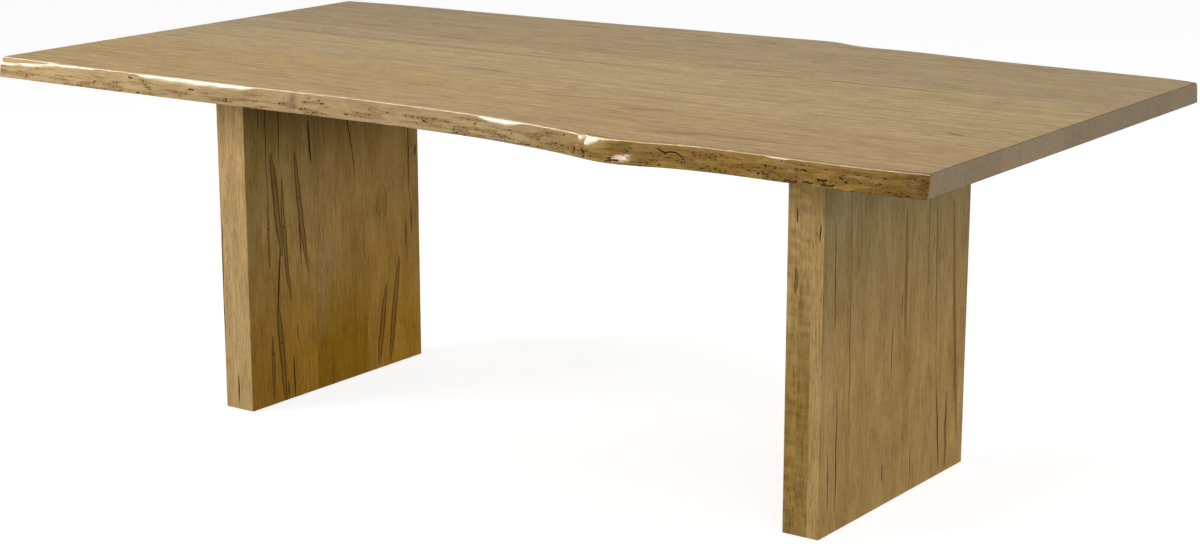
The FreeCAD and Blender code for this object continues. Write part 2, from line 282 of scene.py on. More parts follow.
class Tone(Enum):
    """How the honey stain took on a board; some tones also carry painted light or shade, as noted where they
    stand.
    """

    # Pale cream, partly the maple's own colour and partly painted sheen of the key light on the left leg's
    # front.
    CREAM = "#BC9D6B"
    HONEY = "#B09257"
    AMBER = "#A97E2E"
    UMBER = "#AC8A51"
    FLAX = "#CAA76C"
    TAWNY = "#AC8B4B"
    # Olive darkened as painted shade, for the tops of staves in the shade under the top.
    OLIVE = "#897851"
    RUSSET = "#8F6A1A"
    BRONZE = "#8B6C31"
    ASH = "#AA8F64"
    ROSE = "#B59463"
    BLUSH = "#BA9667"
    STRAW = "#B69B69"
    WHEAT = "#B6955B"
    SAGE = "#AB9266"
    DUSK = "#A48A5D"


@dataclass(frozen=True)
class Streak:
    """Mineral streak left by a beetle: a spindle, or a fine line, along the fibres.

    Places are shares of the face, across the fibres and along them. The hole is a share of the run, and
    one far outside the run isn't drawn.
    """

    start: Pair
    end: Pair
    half_mm: float
    strength: float = 1.0
    bend_mm: float = 0.0
    hole: float = -99.0
    face: Face = Face.BROAD
    spindle_half_mm: ClassVar[float] = 3.0

    @property
    def is_spindle(self) -> bool:
        """Whether it is wide enough to show a stained middle inside dark rims."""
        return self.half_mm >= self.spindle_half_mm


@dataclass(frozen=True)
class Plan:
    """Where a face's shares start and how far they reach, across the fibres and along them, in metres."""

    low: Pair
    size: Pair

    def place(self, shares: Pair) -> Triple:
        """Turns shares of the face into a point in the grain's frame.

        Args:
            shares: Share across the fibres and share along them.

        Returns:
            Point with the fibres along X.
        """
        across, along = (low + share * size for low, share, size in zip(self.low, shares, self.size))
        return along, across, 0.0


@dataclass(frozen=True)
class Board:
    """One board as it came out of the log: its run of fibres, its tones and its marks.

    The tone turns from near to far over the reach along the fibres, in metres. Rings, lines, mottle and
    curl say how strong each sort of figure is.
    """

    name: str
    grain: Grain
    near: Tone
    far: Tone
    seed: int
    reach: Pair
    streaks: tuple[tuple[Streak, Plan], ...]
    curl: float
    rings: float = 0.5
    lines: float = 1.4
    mottle: float = 0.9
    cool: Tone = Tone.ASH
    warm: Tone = Tone.BRONZE
    edge: Optional[Tone] = None


@dataclass(frozen=True)
class Layer:
    """One scale of the wood's figure: soft patches of a real size that lighten or darken the stain."""

    strength: str
    size_mm: Pair
    detail: float
    seen: Pair
    shown: Pair


@dataclass(frozen=True)
class MineralStain:
    """Minerals that the tree laid down round a beetle's path, sealed under the same lacquer as the wood.

    A wide streak has a brown middle inside near-black rims, a fine one is a dark line, and some show the
    beetle's hole.
    """

    middle: str = "#7A5A28"
    middle_share: float = 0.55
    mark: str = "#2C1D0C"
    wobble_mm: Pair = (45.0, 45.0)
    wander_mm: float = 1.4
    bleed: float = 1.15
    taper: float = 0.6
    hair_mm: float = 0.02
    soft_edge: Pair = (1.25, 0.75)
    tip_share: float = 0.12
    rim_reach: Pair = (0.4, 0.85)
    rim_dark: Pair = (0.1, 0.85)
    line_dark: float = 0.9
    hole_mm: Pair = (2.4, 1.6)

    def streak(self) -> Any:
        """Builds the group that lays one streak over those drawn so far.

        Returns:
            Shader group that gives the stained middle and the dark marks.
        """
        tree, given = new_group("mineral_streak", "ShaderNodeTree", {
            "Flat": "Vector", "Start": "Vector", "Along": "Vector", "Across": "Vector", "Wobble": "Float",
            "Half width": "Float", "Bend": "Float", "Spindle": "Float", "Strength": "Float", "Hole": "Float",
            "Length": "Float", "Stain": "Float", "Mark": "Float"}, {"Stain": "Float", "Mark": "Float"})
        away = add(tree, VECTOR, (given["Flat"], given["Start"]), operation="SUBTRACT")
        run, side = (add(tree, VECTOR, (away, given[way]), operation="DOT_PRODUCT").node.outputs["Value"]
                     for way in ("Along", "Across"))
        # The belly is a parabola along the run: nothing at both tips and one half way.
        left = add(tree, MATH, (1.0, run), operation="SUBTRACT")
        belly = add(tree, MATH, (run, left), operation="MULTIPLY")
        belly = add(tree, MATH, (belly, 4.0), operation="MULTIPLY", use_clamp=True)
        bow = add(tree, MATH, (belly, given["Bend"]), operation="MULTIPLY")
        side = add(tree, MATH, (side, bow), operation="SUBTRACT")
        side = add(tree, MATH, (side, given["Wobble"]), operation="ADD")
        side = add(tree, MATH, (side,), operation="ABSOLUTE")
        width = add(tree, MATH, (belly, self.taper), operation="POWER")
        width = add(tree, MATH, (width, given["Half width"], self.hair_mm * MM), operation="MULTIPLY_ADD")
        reach = add(tree, MATH, (side, width), operation="DIVIDE")
        inside = add(tree, RANGE, (reach, *self.soft_edge, *UNIT), interpolation_type="SMOOTHSTEP")
        present = add(tree, RANGE, (belly, 0.0, self.tip_share, *UNIT))
        for share in (present, given["Strength"]):
            inside = add(tree, MATH, (inside, share), operation="MULTIPLY")
        rim = add(tree, RANGE, (reach, *self.rim_reach, *self.rim_dark), interpolation_type="SMOOTHSTEP")
        rim = add(tree, MIX, (given["Spindle"], self.line_dark, rim), data_type="FLOAT")
        dark = add(tree, MATH, (inside, rim), operation="MULTIPLY")
        gap = add(tree, MATH, (run, given["Hole"]), operation="SUBTRACT")
        gap = add(tree, MATH, (gap, given["Length"]), operation="MULTIPLY")
        spot = add(tree, "ShaderNodeCombineXYZ", (gap, side, 0.0))
        spot = add(tree, VECTOR, (spot,), operation="LENGTH").node.outputs["Value"]
        hole = add(tree, RANGE, (spot, *(radius * MM for radius in self.hole_mm), *UNIT))
        for mark in (hole, given["Mark"]):
            dark = add(tree, MATH, (dark, mark), operation="MAXIMUM")
        stain = add(tree, MATH, (given["Stain"], inside), operation="MAXIMUM")
        add(tree, "NodeGroupOutput", (stain, dark))
        return tree

    def marked(self, tree: Any, colour: Any, grain: Any, board: Board) -> Any:
        """Lays a board's streaks over its colour.

        Args:
            tree: Material tree.
            colour: Colour so far.
            grain: Point in the grain's frame.
            board: Board whose streaks are drawn.

        Returns:
            Socket with the marked colour.
        """
        wobble = patches(tree, grain, self.wobble_mm)
        wobble = add(tree, RANGE, (wobble, *SPREAD, -self.wander_mm * MM, self.wander_mm * MM))
        group = bpy.data.node_groups.get("mineral_streak") or self.streak()
        flats = {}
        for face in Face:
            flat = add(tree, "ShaderNodeMapping", {"Vector": grain, "Rotation": face.value})
            flats[face] = add(tree, VECTOR, (flat, (1.0, 1.0, 0.0)), operation="MULTIPLY")
        stain: Any = 0.0
        mark: Any = 0.0
        for streak, plan in board.streaks:
            start, end = Vector(plan.place(streak.start)), Vector(plan.place(streak.end))
            way = (end - start).normalized()
            length = (end - start).length
            strength: Any = streak.strength
            if streak.face is Face.NARROW:
                strength = add(tree, MATH, (narrow_face(tree), strength), operation="MULTIPLY")
            stain = add(tree, "ShaderNodeGroup", {
                "Flat": flats[streak.face], "Start": start, "Along": way / length,
                "Across": (-way.y, way.x, 0.0), "Wobble": wobble, "Length": length,
                "Half width": self.bleed * streak.half_mm * MM, "Bend": streak.bend_mm * MM,
                "Spindle": float(streak.is_spindle), "Strength": strength, "Hole": streak.hole,
                "Stain": stain, "Mark": mark}, node_tree=group)
            mark = stain.node.outputs["Mark"]
        weak = add(tree, MATH, (stain, self.middle_share), operation="MULTIPLY")
        for share, tone in ((weak, self.middle), (mark, self.mark)):
            colour = add(tree, MIX, (share, colour, linear(tone)), data_type="RGBA")
        return colour


@dataclass(frozen=True)
class StainedMaple:
    """Wormy maple, planed, stained honey and sprayed with satin lacquer.

    The planed fibres stay legible as fine lines under the lacquer, and the film over them gives the flat
    top a pale sheen towards the light while upright faces keep their colour; part of that paleness is
    painted sheen in the top's tones. End grain soaks up more stain, so it is darker and greyer. Real
    fibres and pores are too fine to show here, so lines and flecks are drawn coarser than they are.
    """

    layers: tuple[Layer, ...] = (
        Layer("Mottle", (95.0, 38.0), 3.0, SPREAD, (-0.13, 0.13)),
        Layer("Curl", (11.0, 60.0), 1.0, (0.35, 0.65), (-0.07, 0.07)),
        Layer("Rings", (400.0, 13.0), 3.0, SPREAD, (-0.12, 0.12)),
        Layer("Lines", (45.0, 2.8), 2.0, SPREAD, (-0.13, 0.13)),
        Layer("Lines", (16.0, 2.2), 1.0, (0.58, 0.76), (0.0, -0.3)),
        Layer("Rings", (150.0, 8.0), 2.0, (0.58, 0.7), (0.0, -0.2)))
    drift_mm: Pair = (900.0, 140.0)
    sway_mm: float = 14.0
    cloud_mm: Pair = (330.0, 80.0)
    cloud_seen: Pair = (0.5, 0.75)
    cloud_shifts: tuple[Triple, Triple] = ((3.0, 1.0, 7.0), (11.0, 5.0, 2.0))
    cloud_shares: Pair = (0.4, 0.45)
    shade_gain: Triple = (0.9, 1.0, 1.2)
    shade_lift: Triple = (0.1, 0.0, -0.2)
    log_m: float = 4.0
    arris: str = "#57432A"
    arris_seen: Pair = (0.2, 0.4)
    arris_share: float = 0.85
    end_grain: str = "#8F7D65"
    end_seen: Pair = (0.8, 0.97)
    end_soak: Pair = (0.9, 1.07)
    end_figure: float = 0.4
    roughness: float = 0.4
    specular: float = 0.02
    relief: float = 0.12
    relief_mm: float = 0.4
    minerals: MineralStain = MineralStain()

    def figure(self) -> Any:
        """Gives the group that draws the wood's figure from a point in the grain's frame.

        Returns:
            Shader group with the shade, cool and warm clouds and the relief, built the first time.
        """
        made = bpy.data.node_groups.get("maple_figure")
        if made:
            return made
        takes = {"Point": "Vector", **{layer.strength: "Float" for layer in self.layers}}
        tree, given = new_group("maple_figure", "ShaderNodeTree", takes, {
            "Shade": "Float", "Cool": "Float", "Warm": "Float", "Relief": "Float"})
        sway = self.sway_mm * MM
        drift = patches(tree, given["Point"], self.drift_mm).node.outputs["Color"]
        drift = add(tree, VECTOR, (drift, MIDDLE), operation="SUBTRACT")
        drift = add(tree, VECTOR, (drift, (0.0, sway, sway)), operation="MULTIPLY")
        point = add(tree, VECTOR, (given["Point"], drift), operation="ADD")
        shade: Any = 1.0
        relief: Any = 0.0
        for layer in self.layers:
            value = patches(tree, point, layer.size_mm, layer.detail)
            relief = add(tree, RANGE, (value, *layer.seen, *layer.shown))
            shade = add(tree, MATH, (relief, given[layer.strength], shade), operation="MULTIPLY_ADD")
        clouds = []
        for shift in self.cloud_shifts:
            lie = add(tree, VECTOR, (grid(tree, point, self.cloud_mm), shift), operation="ADD")
            cloud = add(tree, NOISE, {"Vector": lie, "Scale": 1.0, "Detail": 2.0})
            clouds.append(add(tree, RANGE, (cloud, *self.cloud_seen, *UNIT)))
        # The lacquer sinks into the open veins, which are the last layer.
        add(tree, "NodeGroupOutput", (shade, *clouds, relief))
        return tree

    def material(self, board: Board) -> bpy.types.Material:
        """Makes the finish of one board.

        Args:
            board: The board.

        Returns:
            Material that reads object coordinates, so that the figure runs through the solid.
        """
        material = new_material("stained maple " + board.name)
        tree = material.node_tree
        place = add(tree, "ShaderNodeTexCoord").node.outputs
        grain = add(tree, "ShaderNodeMapping", {"Vector": place["Object"], "Rotation": board.grain.value})
        rng = random.Random(board.seed)
        log = tuple(rng.uniform(-self.log_m, self.log_m) for _ in range(3))
        point = add(tree, VECTOR, (grain, log), operation="ADD")
        figure = add(tree, "ShaderNodeGroup", {
            "Point": point, "Rings": board.rings, "Lines": board.lines, "Mottle": board.mottle,
            "Curl": board.curl}, node_tree=self.figure()).node.outputs
        along = add(tree, "ShaderNodeSeparateXYZ", (grain,))
        along = add(tree, RANGE, (along, *board.reach, *UNIT))
        tones = (linear(board.near.value), linear(board.far.value))
        colour = add(tree, MIX, (along, *tones), data_type="RGBA")
        if board.edge:
            edge = linear(board.edge.value)
            colour = add(tree, MIX, (narrow_face(tree), colour, edge), data_type="RGBA")
        for cloud, tone, share in zip(("Cool", "Warm"), (board.cool, board.warm), self.cloud_shares):
            part = add(tree, MATH, (figure[cloud], share), operation="MULTIPLY")
            colour = add(tree, MIX, (part, colour, linear(tone.value)), data_type="RGBA")
        shade = (figure["Shade"], self.shade_gain, self.shade_lift)
        shade = add(tree, VECTOR, shade, operation="MULTIPLY_ADD")
        colour = add(tree, MIX, (1.0, colour, shade), data_type="RGBA", blend_type="MULTIPLY")
        if board.streaks:
            colour = self.minerals.marked(tree, colour, grain, board)
        facing = add(tree, VECTOR, (place["Normal"], board.grain.fibre), operation="DOT_PRODUCT")
        facing = add(tree, MATH, (facing.node.outputs["Value"],), operation="ABSOLUTE")
        # The arrises round the end grain are drawn darker.
        arris_dark = add(tree, RANGE, (facing, *self.arris_seen, 0.0, self.arris_share))
        colour = add(tree, MIX, (arris_dark, colour, linear(self.arris)), data_type="RGBA")
        facing = add(tree, RANGE, (facing, *self.end_seen, *UNIT))
        soaked = rng.uniform(*self.end_soak)
        ends = tuple(share * soaked for share in linear(self.end_grain)[:3]) + (1.0,)
        ends = (self.end_figure, ends, figure["Shade"])
        ends = add(tree, MIX, ends, data_type="RGBA", blend_type="MULTIPLY")
        colour = add(tree, MIX, (facing, colour, ends), data_type="RGBA")
        bump = add(tree, "ShaderNodeBump", {
            "Strength": self.relief, "Distance": self.relief_mm * MM, "Height": figure["Relief"]})
        skin = add(tree, "ShaderNodeBsdfPrincipled", {
            "Base Color": colour, "Roughness": self.roughness, "Specular IOR Level": self.specular,
            "Normal": bump})
        add(tree, "ShaderNodeOutputMaterial", {"Surface": skin})
        return material


@dataclass(frozen=True)
class MapleRind:
    """Waney edge of stained maple, where the bark was peeled off and the lacquer stands thick and glossy.

    The rippled skin breaks the light into small glints, sapwood shows through in pale patches, and beetles
    left it full of short dark marks, close together where the mesh says that the edge is bored. The skin is
    darker towards the right end: each later tone says where along X, in metres, it takes over, and how.
    """

    wood: StainedMaple
    tone: str = "#B4996C"
    later_tones: tuple[tuple[str, Pair, str], ...] = (
        ("#A07F3E", (0.22, 0.52), "SMOOTHSTEP"), ("#7F6127", (0.95, 1.07), "LINEAR"))
    rings: float = 0.3
    lines: float = 0.9
    mottle: float = 1.0
    sapwood: str = "#BFA67C"
    sapwood_mm: Pair = (22.0, 7.0)
    sapwood_seen: Pair = (0.5, 0.72)
    sapwood_share: float = 0.5
    knot: str = "#6E624A"
    bore: str = "#3A1E04"
    dash_mm: Pair = (10.5, 2.9)
    dash_half: Pair = (0.12, 0.43)
    dash_kept: Pair = (0.3, 0.35)
    dash_crisp: float = 14.0
    dash_dark: Pair = (0.5, 1.0)
    dash_dark_seen: Pair = (0.0, 0.6)
    warp_mm: Pair = (9.0, 9.0)
    warp_by_mm: float = 4.0
    crowd_mm: Pair = (70.0, 9.0)
    crowd_bored: float = 0.24
    crowd_seen: Pair = (0.58, 0.66)
    clean_from_m: Pair = (0.735, 0.757)
    clean_share: float = -0.12
    dirt: str = "#70480F"
    dirt_share: float = 0.4
    ripple_mm: Pair = (24.0, 5.0)
    relief: float = 0.3
    relief_mm: float = 0.5
    roughness: float = 0.25
    specular: float = 0.08

    def dashes(self, tree: Any, flat: Any) -> Any:
        """Draws the short marks that beetles left all over the skin.

        Args:
            tree: Material tree.
            flat: Place along the edge and up it.

        Returns:
            Socket that is dark inside a mark, some darker than others.
        """
        by = self.warp_by_mm * MM
        warp = patches(tree, flat, self.warp_mm).node.outputs["Color"]
        warp = add(tree, VECTOR, (warp, MIDDLE), operation="SUBTRACT")
        warp = add(tree, VECTOR, (warp, (by, by, 0.0)), operation="MULTIPLY")
        bent = add(tree, VECTOR, (flat, warp), operation="ADD")
        cells = {"Vector": grid(tree, bent, self.dash_mm), "Scale": 1.0, "Randomness": 1.0}
        far = add(tree, "ShaderNodeTexVoronoi", cells, voronoi_dimensions="2D")
        chance = add(tree, "ShaderNodeSeparateColor", (far.node.outputs["Color"],)).node.outputs
        size = add(tree, RANGE, (chance["Green"], *UNIT, *self.dash_half))
        kept = add(tree, RANGE, (chance["Red"], *self.dash_kept, *UNIT))
        dark = add(tree, RANGE, (chance["Blue"], *self.dash_dark_seen, *self.dash_dark))
        dash = add(tree, MATH, (size, far), operation="SUBTRACT")
        dash = add(tree, MATH, (dash, self.dash_crisp), operation="MULTIPLY", use_clamp=True)
        for share in (dark, kept):
            dash = add(tree, MATH, (dash, share), operation="MULTIPLY")
        return dash

    def crowd(self, tree: Any, flat: Any, height: Any, bored: Any) -> Any:
        """Tells where marks crowd together and where the skin is clean, as it is near the top.

        Args:
            tree: Material tree.
            flat: Place along the edge and up it.
            height: Z.
            bored: How thickly the edge is bored.

        Returns:
            Socket that is one among the marks.
        """
        crowd = patches(tree, flat, self.crowd_mm)
        crowd = add(tree, MATH, (bored, self.crowd_bored, crowd), operation="MULTIPLY_ADD")
        clean = add(tree, RANGE, (height, *self.clean_from_m, 0.0, self.clean_share))
        crowd = add(tree, MATH, (crowd, clean), operation="ADD")
        return add(tree, RANGE, (crowd, *self.crowd_seen, *UNIT))

    def material(self, board: Board) -> bpy.types.Material:
        """Makes the finish of one waney edge.

        Args:
            board: Board whose edge it is.

        Returns:
            Material that reads the mesh's marks and object coordinates.
        """
        material = new_material("lacquered maple rind " + board.name)
        tree = material.node_tree
        place = add(tree, "ShaderNodeTexCoord").node.outputs["Object"]
        parts = add(tree, "ShaderNodeSeparateXYZ", (place,)).node.outputs
        bored, worm, knot = (add(tree, "ShaderNodeAttribute", attribute_name=name).node.outputs["Fac"]
                             for name in ("bored", "worm", "knot"))
        figure = add(tree, "ShaderNodeGroup", {
            "Point": place, "Rings": self.rings, "Lines": self.lines, "Mottle": self.mottle, "Curl": 0.0},
            node_tree=self.wood.figure()).node.outputs
        skin: Any = linear(self.tone)
        for tone, reach, blend in self.later_tones:
            away = add(tree, RANGE, (parts["X"], *reach, *UNIT), interpolation_type=blend)
            skin = add(tree, MIX, (away, skin, linear(tone)), data_type="RGBA")
        skin = add(tree, MIX, (1.0, skin, figure["Shade"]), data_type="RGBA", blend_type="MULTIPLY")
        flat = add(tree, "ShaderNodeCombineXYZ", (parts["X"], parts["Z"], 0.0))
        pale = patches(tree, flat, self.sapwood_mm, detail=3.0)
        pale = add(tree, RANGE, (pale, *self.sapwood_seen, 0.0, self.sapwood_share))
        crowd = self.crowd(tree, flat, parts["Z"], bored)
        dirt = add(tree, MATH, (crowd, self.dirt_share), operation="MULTIPLY")
        dash = add(tree, MATH, (self.dashes(tree, flat), crowd), operation="MULTIPLY")
        dark = add(tree, MATH, (dash, worm), operation="MAXIMUM")
        for share, tone in ((pale, self.sapwood), (dirt, self.dirt), (knot, self.knot), (dark, self.bore)):
            skin = add(tree, MIX, (share, skin, linear(tone)), data_type="RGBA")
        ripple = patches(tree, flat, self.ripple_mm)
        height = add(tree, MATH, (ripple, dash), operation="SUBTRACT")
        bump = add(tree, "ShaderNodeBump", {
            "Strength": self.relief, "Distance": self.relief_mm * MM, "Height": height})
        shell = add(tree, "ShaderNodeBsdfPrincipled", {
            "Base Color": skin, "Roughness": self.roughness, "Specular IOR Level": self.specular,
            "Normal": bump})
        add(tree, "ShaderNodeOutputMaterial", {"Surface": shell})
        return material


@dataclass(frozen=True)
class PlainFinish:
    """Finish of a small fitting: one colour with a fine tooth left by the way it was made.

    The tooth is drawn coarser than the real one, which is too fine to show.
    """

    name: str
    colour: str
    metallic: float
    roughness: Pair
    tooth_mm: float
    specular: float = 0.5

    def material(self) -> bpy.types.Material:
        """Makes the material.

        Returns:
            Material whose roughness varies with the tooth of the surface.
        """
        material = new_material(self.name)
        tree = material.node_tree
        place = add(tree, "ShaderNodeTexCoord").node.outputs["Object"]
        tooth = add(tree, NOISE, {"Vector": place, "Scale": 1.0 / (self.tooth_mm * MM), "Detail": 2.0})
        rough = add(tree, RANGE, (tooth, *SPREAD, *self.roughness))
        skin = add(tree, "ShaderNodeBsdfPrincipled", {
            "Base Color": linear(self.colour), "Metallic": self.metallic, "Roughness": rough,
            "Specular IOR Level": self.specular})
        add(tree, "ShaderNodeOutputMaterial", {"Surface": skin})
        return material


# Turned beech is left bare, so it is pale and dull.
BEECH = PlainFinish("turned beech", "#C9A77A", 0.0, (0.55, 0.7), 2.0)
# Powder coat bakes to a faint orange peel that blurs the light.
POWDER_COAT = PlainFinish("black powder coat on steel", "#1A1A1A", 0.0, (0.42, 0.55), 0.8)
# Bright zinc plate is slightly cloudy, so reflections are soft and uneven.
ZINC = PlainFinish("bright zinc plate on steel", "#C4C7C9", 1.0, (0.25, 0.42), 1.5)
# Free-cutting brass is turned, and keeps a fine tool finish.
BRASS = PlainFinish("turned brass", "#C9A45A", 1.0, (0.25, 0.38), 0.7)
# Beetles leave a dry, dark gallery that the lacquer doesn't fill.
GALLERY = PlainFinish("bored maple", "#4A2A0C", 0.0, (0.6, 0.8), 1.0, 0.02)
# Moulded nylon takes a spark-eroded texture from the mould and looks dry.
NYLON = PlainFinish("moulded nylon", "#161616", 0.0, (0.5, 0.62), 0.6)

# Both legs wear the same streaks: across from the front, along from the floor.
FACE_STREAKS = {
    "inner": (
        Streak((0.075, 1.0), (0.075, 0.83), 1.0), Streak((0.115, 1.0), (0.115, 0.62), 1.0),
        Streak((0.115, 0.64), (0.115, 0.41), 3.0, hole=0.44),
        Streak((0.14, 0.77), (0.185, 0.44), 8.0, hole=0.29), Streak((0.185, 1.0), (0.185, 0.71), 1.0),
        Streak((0.195, 0.69), (0.23, 0.3), 5.0, bend_mm=5.7, hole=0.4),
        Streak((0.27, 0.76), (0.33, 0.37), 6.5, bend_mm=3.6, hole=0.38),
        Streak((0.285, 0.56), (0.29, 0.4), 1.5),
        Streak((0.35, 0.84), (0.36, 0.7), 2.5), Streak((0.535, 1.0), (0.615, 0.63), 1.5, hole=0.63),
        Streak((0.175, 0.48), (0.155, 0.28), 2.2), Streak((0.155, 0.32), (0.185, -0.01), 7.0, hole=0.41),
        Streak((0.12, 0.22), (0.12, 0.01), 4.0, hole=0.29), Streak((0.26, 0.23), (0.26, 0.18), 1.2),
        Streak((0.235, 0.14), (0.235, 0.0), 2.0), Streak((0.2, 0.06), (0.2, 0.01), 1.5),
        Streak((0.87, 0.35), (0.8, 0.01), 7.0, hole=0.8), Streak((0.785, 0.27), (0.73, 0.01), 7.0),
        Streak((0.935, 1.0), (0.94, 0.5), 1.5), Streak((0.95, 0.5), (0.95, 0.4), 1.0),
        Streak((0.915, 0.46), (0.915, 0.37), 1.5), Streak((0.98, 0.69), (0.98, 0.65), 2.0),
        Streak((0.9, 0.15), (0.9, 0.08), 1.0, 0.5), Streak((0.77, 0.59), (0.77, 0.47), 16.0, 0.25)),
    "outer": (
        Streak((0.07, 0.82), (0.08, 0.52), 1.2, hole=0.53), Streak((0.165, 1.0), (0.19, 0.03), 1.2, 0.55),
        Streak((0.22, 0.84), (0.225, 0.66), 9.0, 0.3), Streak((0.54, 0.79), (0.55, 0.43), 4.0),
        Streak((0.525, 0.56), (0.525, 0.49), 1.0), Streak((0.46, 0.49), (0.46, 0.35), 1.2),
        Streak((0.695, 1.0), (0.705, 0.52), 1.2, 0.6), Streak((0.745, 1.0), (0.78, 0.26), 1.2, 0.65),
        Streak((0.875, 0.77), (0.96, 0.06), 4.0, bend_mm=4.5), Streak((0.79, 0.26), (0.825, 0.01), 2.0),
        Streak((0.865, 0.24), (0.87, 0.01), 2.0), Streak((0.1, 0.39), (0.105, 0.05), 1.5),
        Streak((0.05, 0.23), (0.055, 0.07), 1.0), Streak((0.415, 0.12), (0.415, 0.07), 1.5),
        Streak((0.61, 0.13), (0.61, 0.01), 1.0), Streak((0.705, 0.13), (0.705, 0.01), 0.8, 0.5)),
}
# On the narrow faces they are placed across from the left.
EDGE_STREAKS = {
    "left": (
        Streak((0.09, 0.59), (0.05, 0.2), 1.2, bend_mm=3.0, hole=0.35, face=Face.NARROW),
        Streak((0.5, 0.11), (0.5, 0.02), 1.5, face=Face.NARROW)),
    "right": (
        Streak((0.26, 0.85), (0.26, 0.81), 1.2, face=Face.NARROW),
        Streak((0.26, 0.7), (0.26, 0.63), 3.0, face=Face.NARROW),
        Streak((0.89, 0.82), (0.89, 0.77), 1.2, face=Face.NARROW),
        Streak((0.15, 0.07), (0.15, 0.0), 5.0, 0.4, face=Face.NARROW)),
}
# On the top they are placed across from the front and along from the left end.
TOP_STREAKS = (
    Streak((0.56, 0.03), (0.555, 0.54), 3.5, 0.55), Streak((0.225, 0.23), (0.225, 0.46), 4.0, 0.4),
    Streak((0.385, 0.6), (0.405, 0.75), 4.0, 0.5), Streak((0.43, 0.78), (0.445, 0.9), 4.0, 0.4),
    Streak((0.115, 0.76), (0.115, 0.85), 5.0, 0.4), Streak((0.64, 0.57), (0.65, 0.69), 4.0, 0.4),
    Streak((0.255, 0.55), (0.275, 0.63), 4.0, 0.7), Streak((0.22, 0.65), (0.245, 0.7), 11.0, 0.4),
    Streak((0.08, 0.72), (0.12, 0.79), 9.0, 0.4), Streak((0.91, 0.47), (0.91, 0.48), 4.0),
    Streak((0.58, 0.63), (0.615, 0.7), 5.0, 0.6), Streak((0.615, 0.7), (0.625, 0.86), 5.5, 0.7),
    Streak((0.32, 0.93), (0.31, 0.95), 4.0))


@dataclass
class PlankTop:
    """Boards of the top that lie between the two live ones, with the dowels across their glue lines."""

    size: Pair = (1.232, 2.140)
    # The top's tones are paler and greyer than the legs', partly the maple's own colour and partly painted
    # sheen of the lacquer.
    tones: tuple[tuple[Tone, Tone], ...] = (
        (Tone.WHEAT, Tone.ROSE), (Tone.WHEAT, Tone.ROSE), (Tone.WHEAT, Tone.STRAW), (Tone.STRAW, Tone.STRAW),
        (Tone.STRAW, Tone.STRAW), (Tone.SAGE, Tone.STRAW), (Tone.DUSK, Tone.SAGE), (Tone.DUSK, Tone.SAGE),
        (Tone.DUSK, Tone.SAGE))
    names: tuple[str, ...] = (
        "front_live_board", *("top_board_%d" % number for number in range(1, 8)), "back_live_board")
    first_seed: int = 11
    spill_mm: float = 10.0

    @property
    def plan(self) -> Plan:
        """Shares of the top, across from the front and along from the left end."""
        return Plan((-self.size[0] / 2, -self.size[1] / 2), self.size)

    def board(self, name: str) -> Board:
        """Describes one board.

        Args:
            name: Its CAD node.

        Returns:
            The board with the streaks that start or end in it.
        """
        at = self.names.index(name)
        low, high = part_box(name)
        spill = self.spill_mm * MM
        streaks = tuple((streak, self.plan) for streak in TOP_STREAKS
                        if any(low.y - spill < self.plan.place(tip)[1] < high.y + spill
                               for tip in (streak.start, streak.end)))
        return Board(name, Grain.LENGTHWISE, *self.tones[at], self.first_seed + at, (low.x, high.x), streaks,
                     curl=0.15, rings=1.15, lines=1.6, mottle=0.5, cool=Tone.SAGE, warm=Tone.BLUSH)

    def dress(self, maple: StainedMaple) -> None:
        """Gives the boards and the dowels their finishes.

        Args:
            maple: Finish of the boards.
        """
        for name in self.names[1:-1]:
            dress(name, maple.material(self.board(name)))
        dress("top_dowels", BEECH.material())


@dataclass(frozen=True)
class Hollow:
    """Dent or knot in a waney edge.

    Its place is shares of the edge, along and up. Its depth is in mm for a dent and a share for a knot.
    """

    along: float
    up: float
    half_long_mm: float
    half_tall_mm: float
    depth: float
    steepness: ClassVar[float] = 1.5

    def felt(self, along: float, up: float, size: Pair) -> float:
        """Tells how deep it is at a place.

        Args:
            along: Share of the edge's length.
            up: Share of its thickness.
            size: Length and thickness of the edge, in metres.

        Returns:
            Depth in the hollow's own measure.
        """
        dx = (along - self.along) * size[0] / (self.half_long_mm * MM)
        dz = (up - self.up) * size[1] / (self.half_tall_mm * MM)
        return self.depth * math.exp(-self.steepness * (dx * dx + dz * dz))


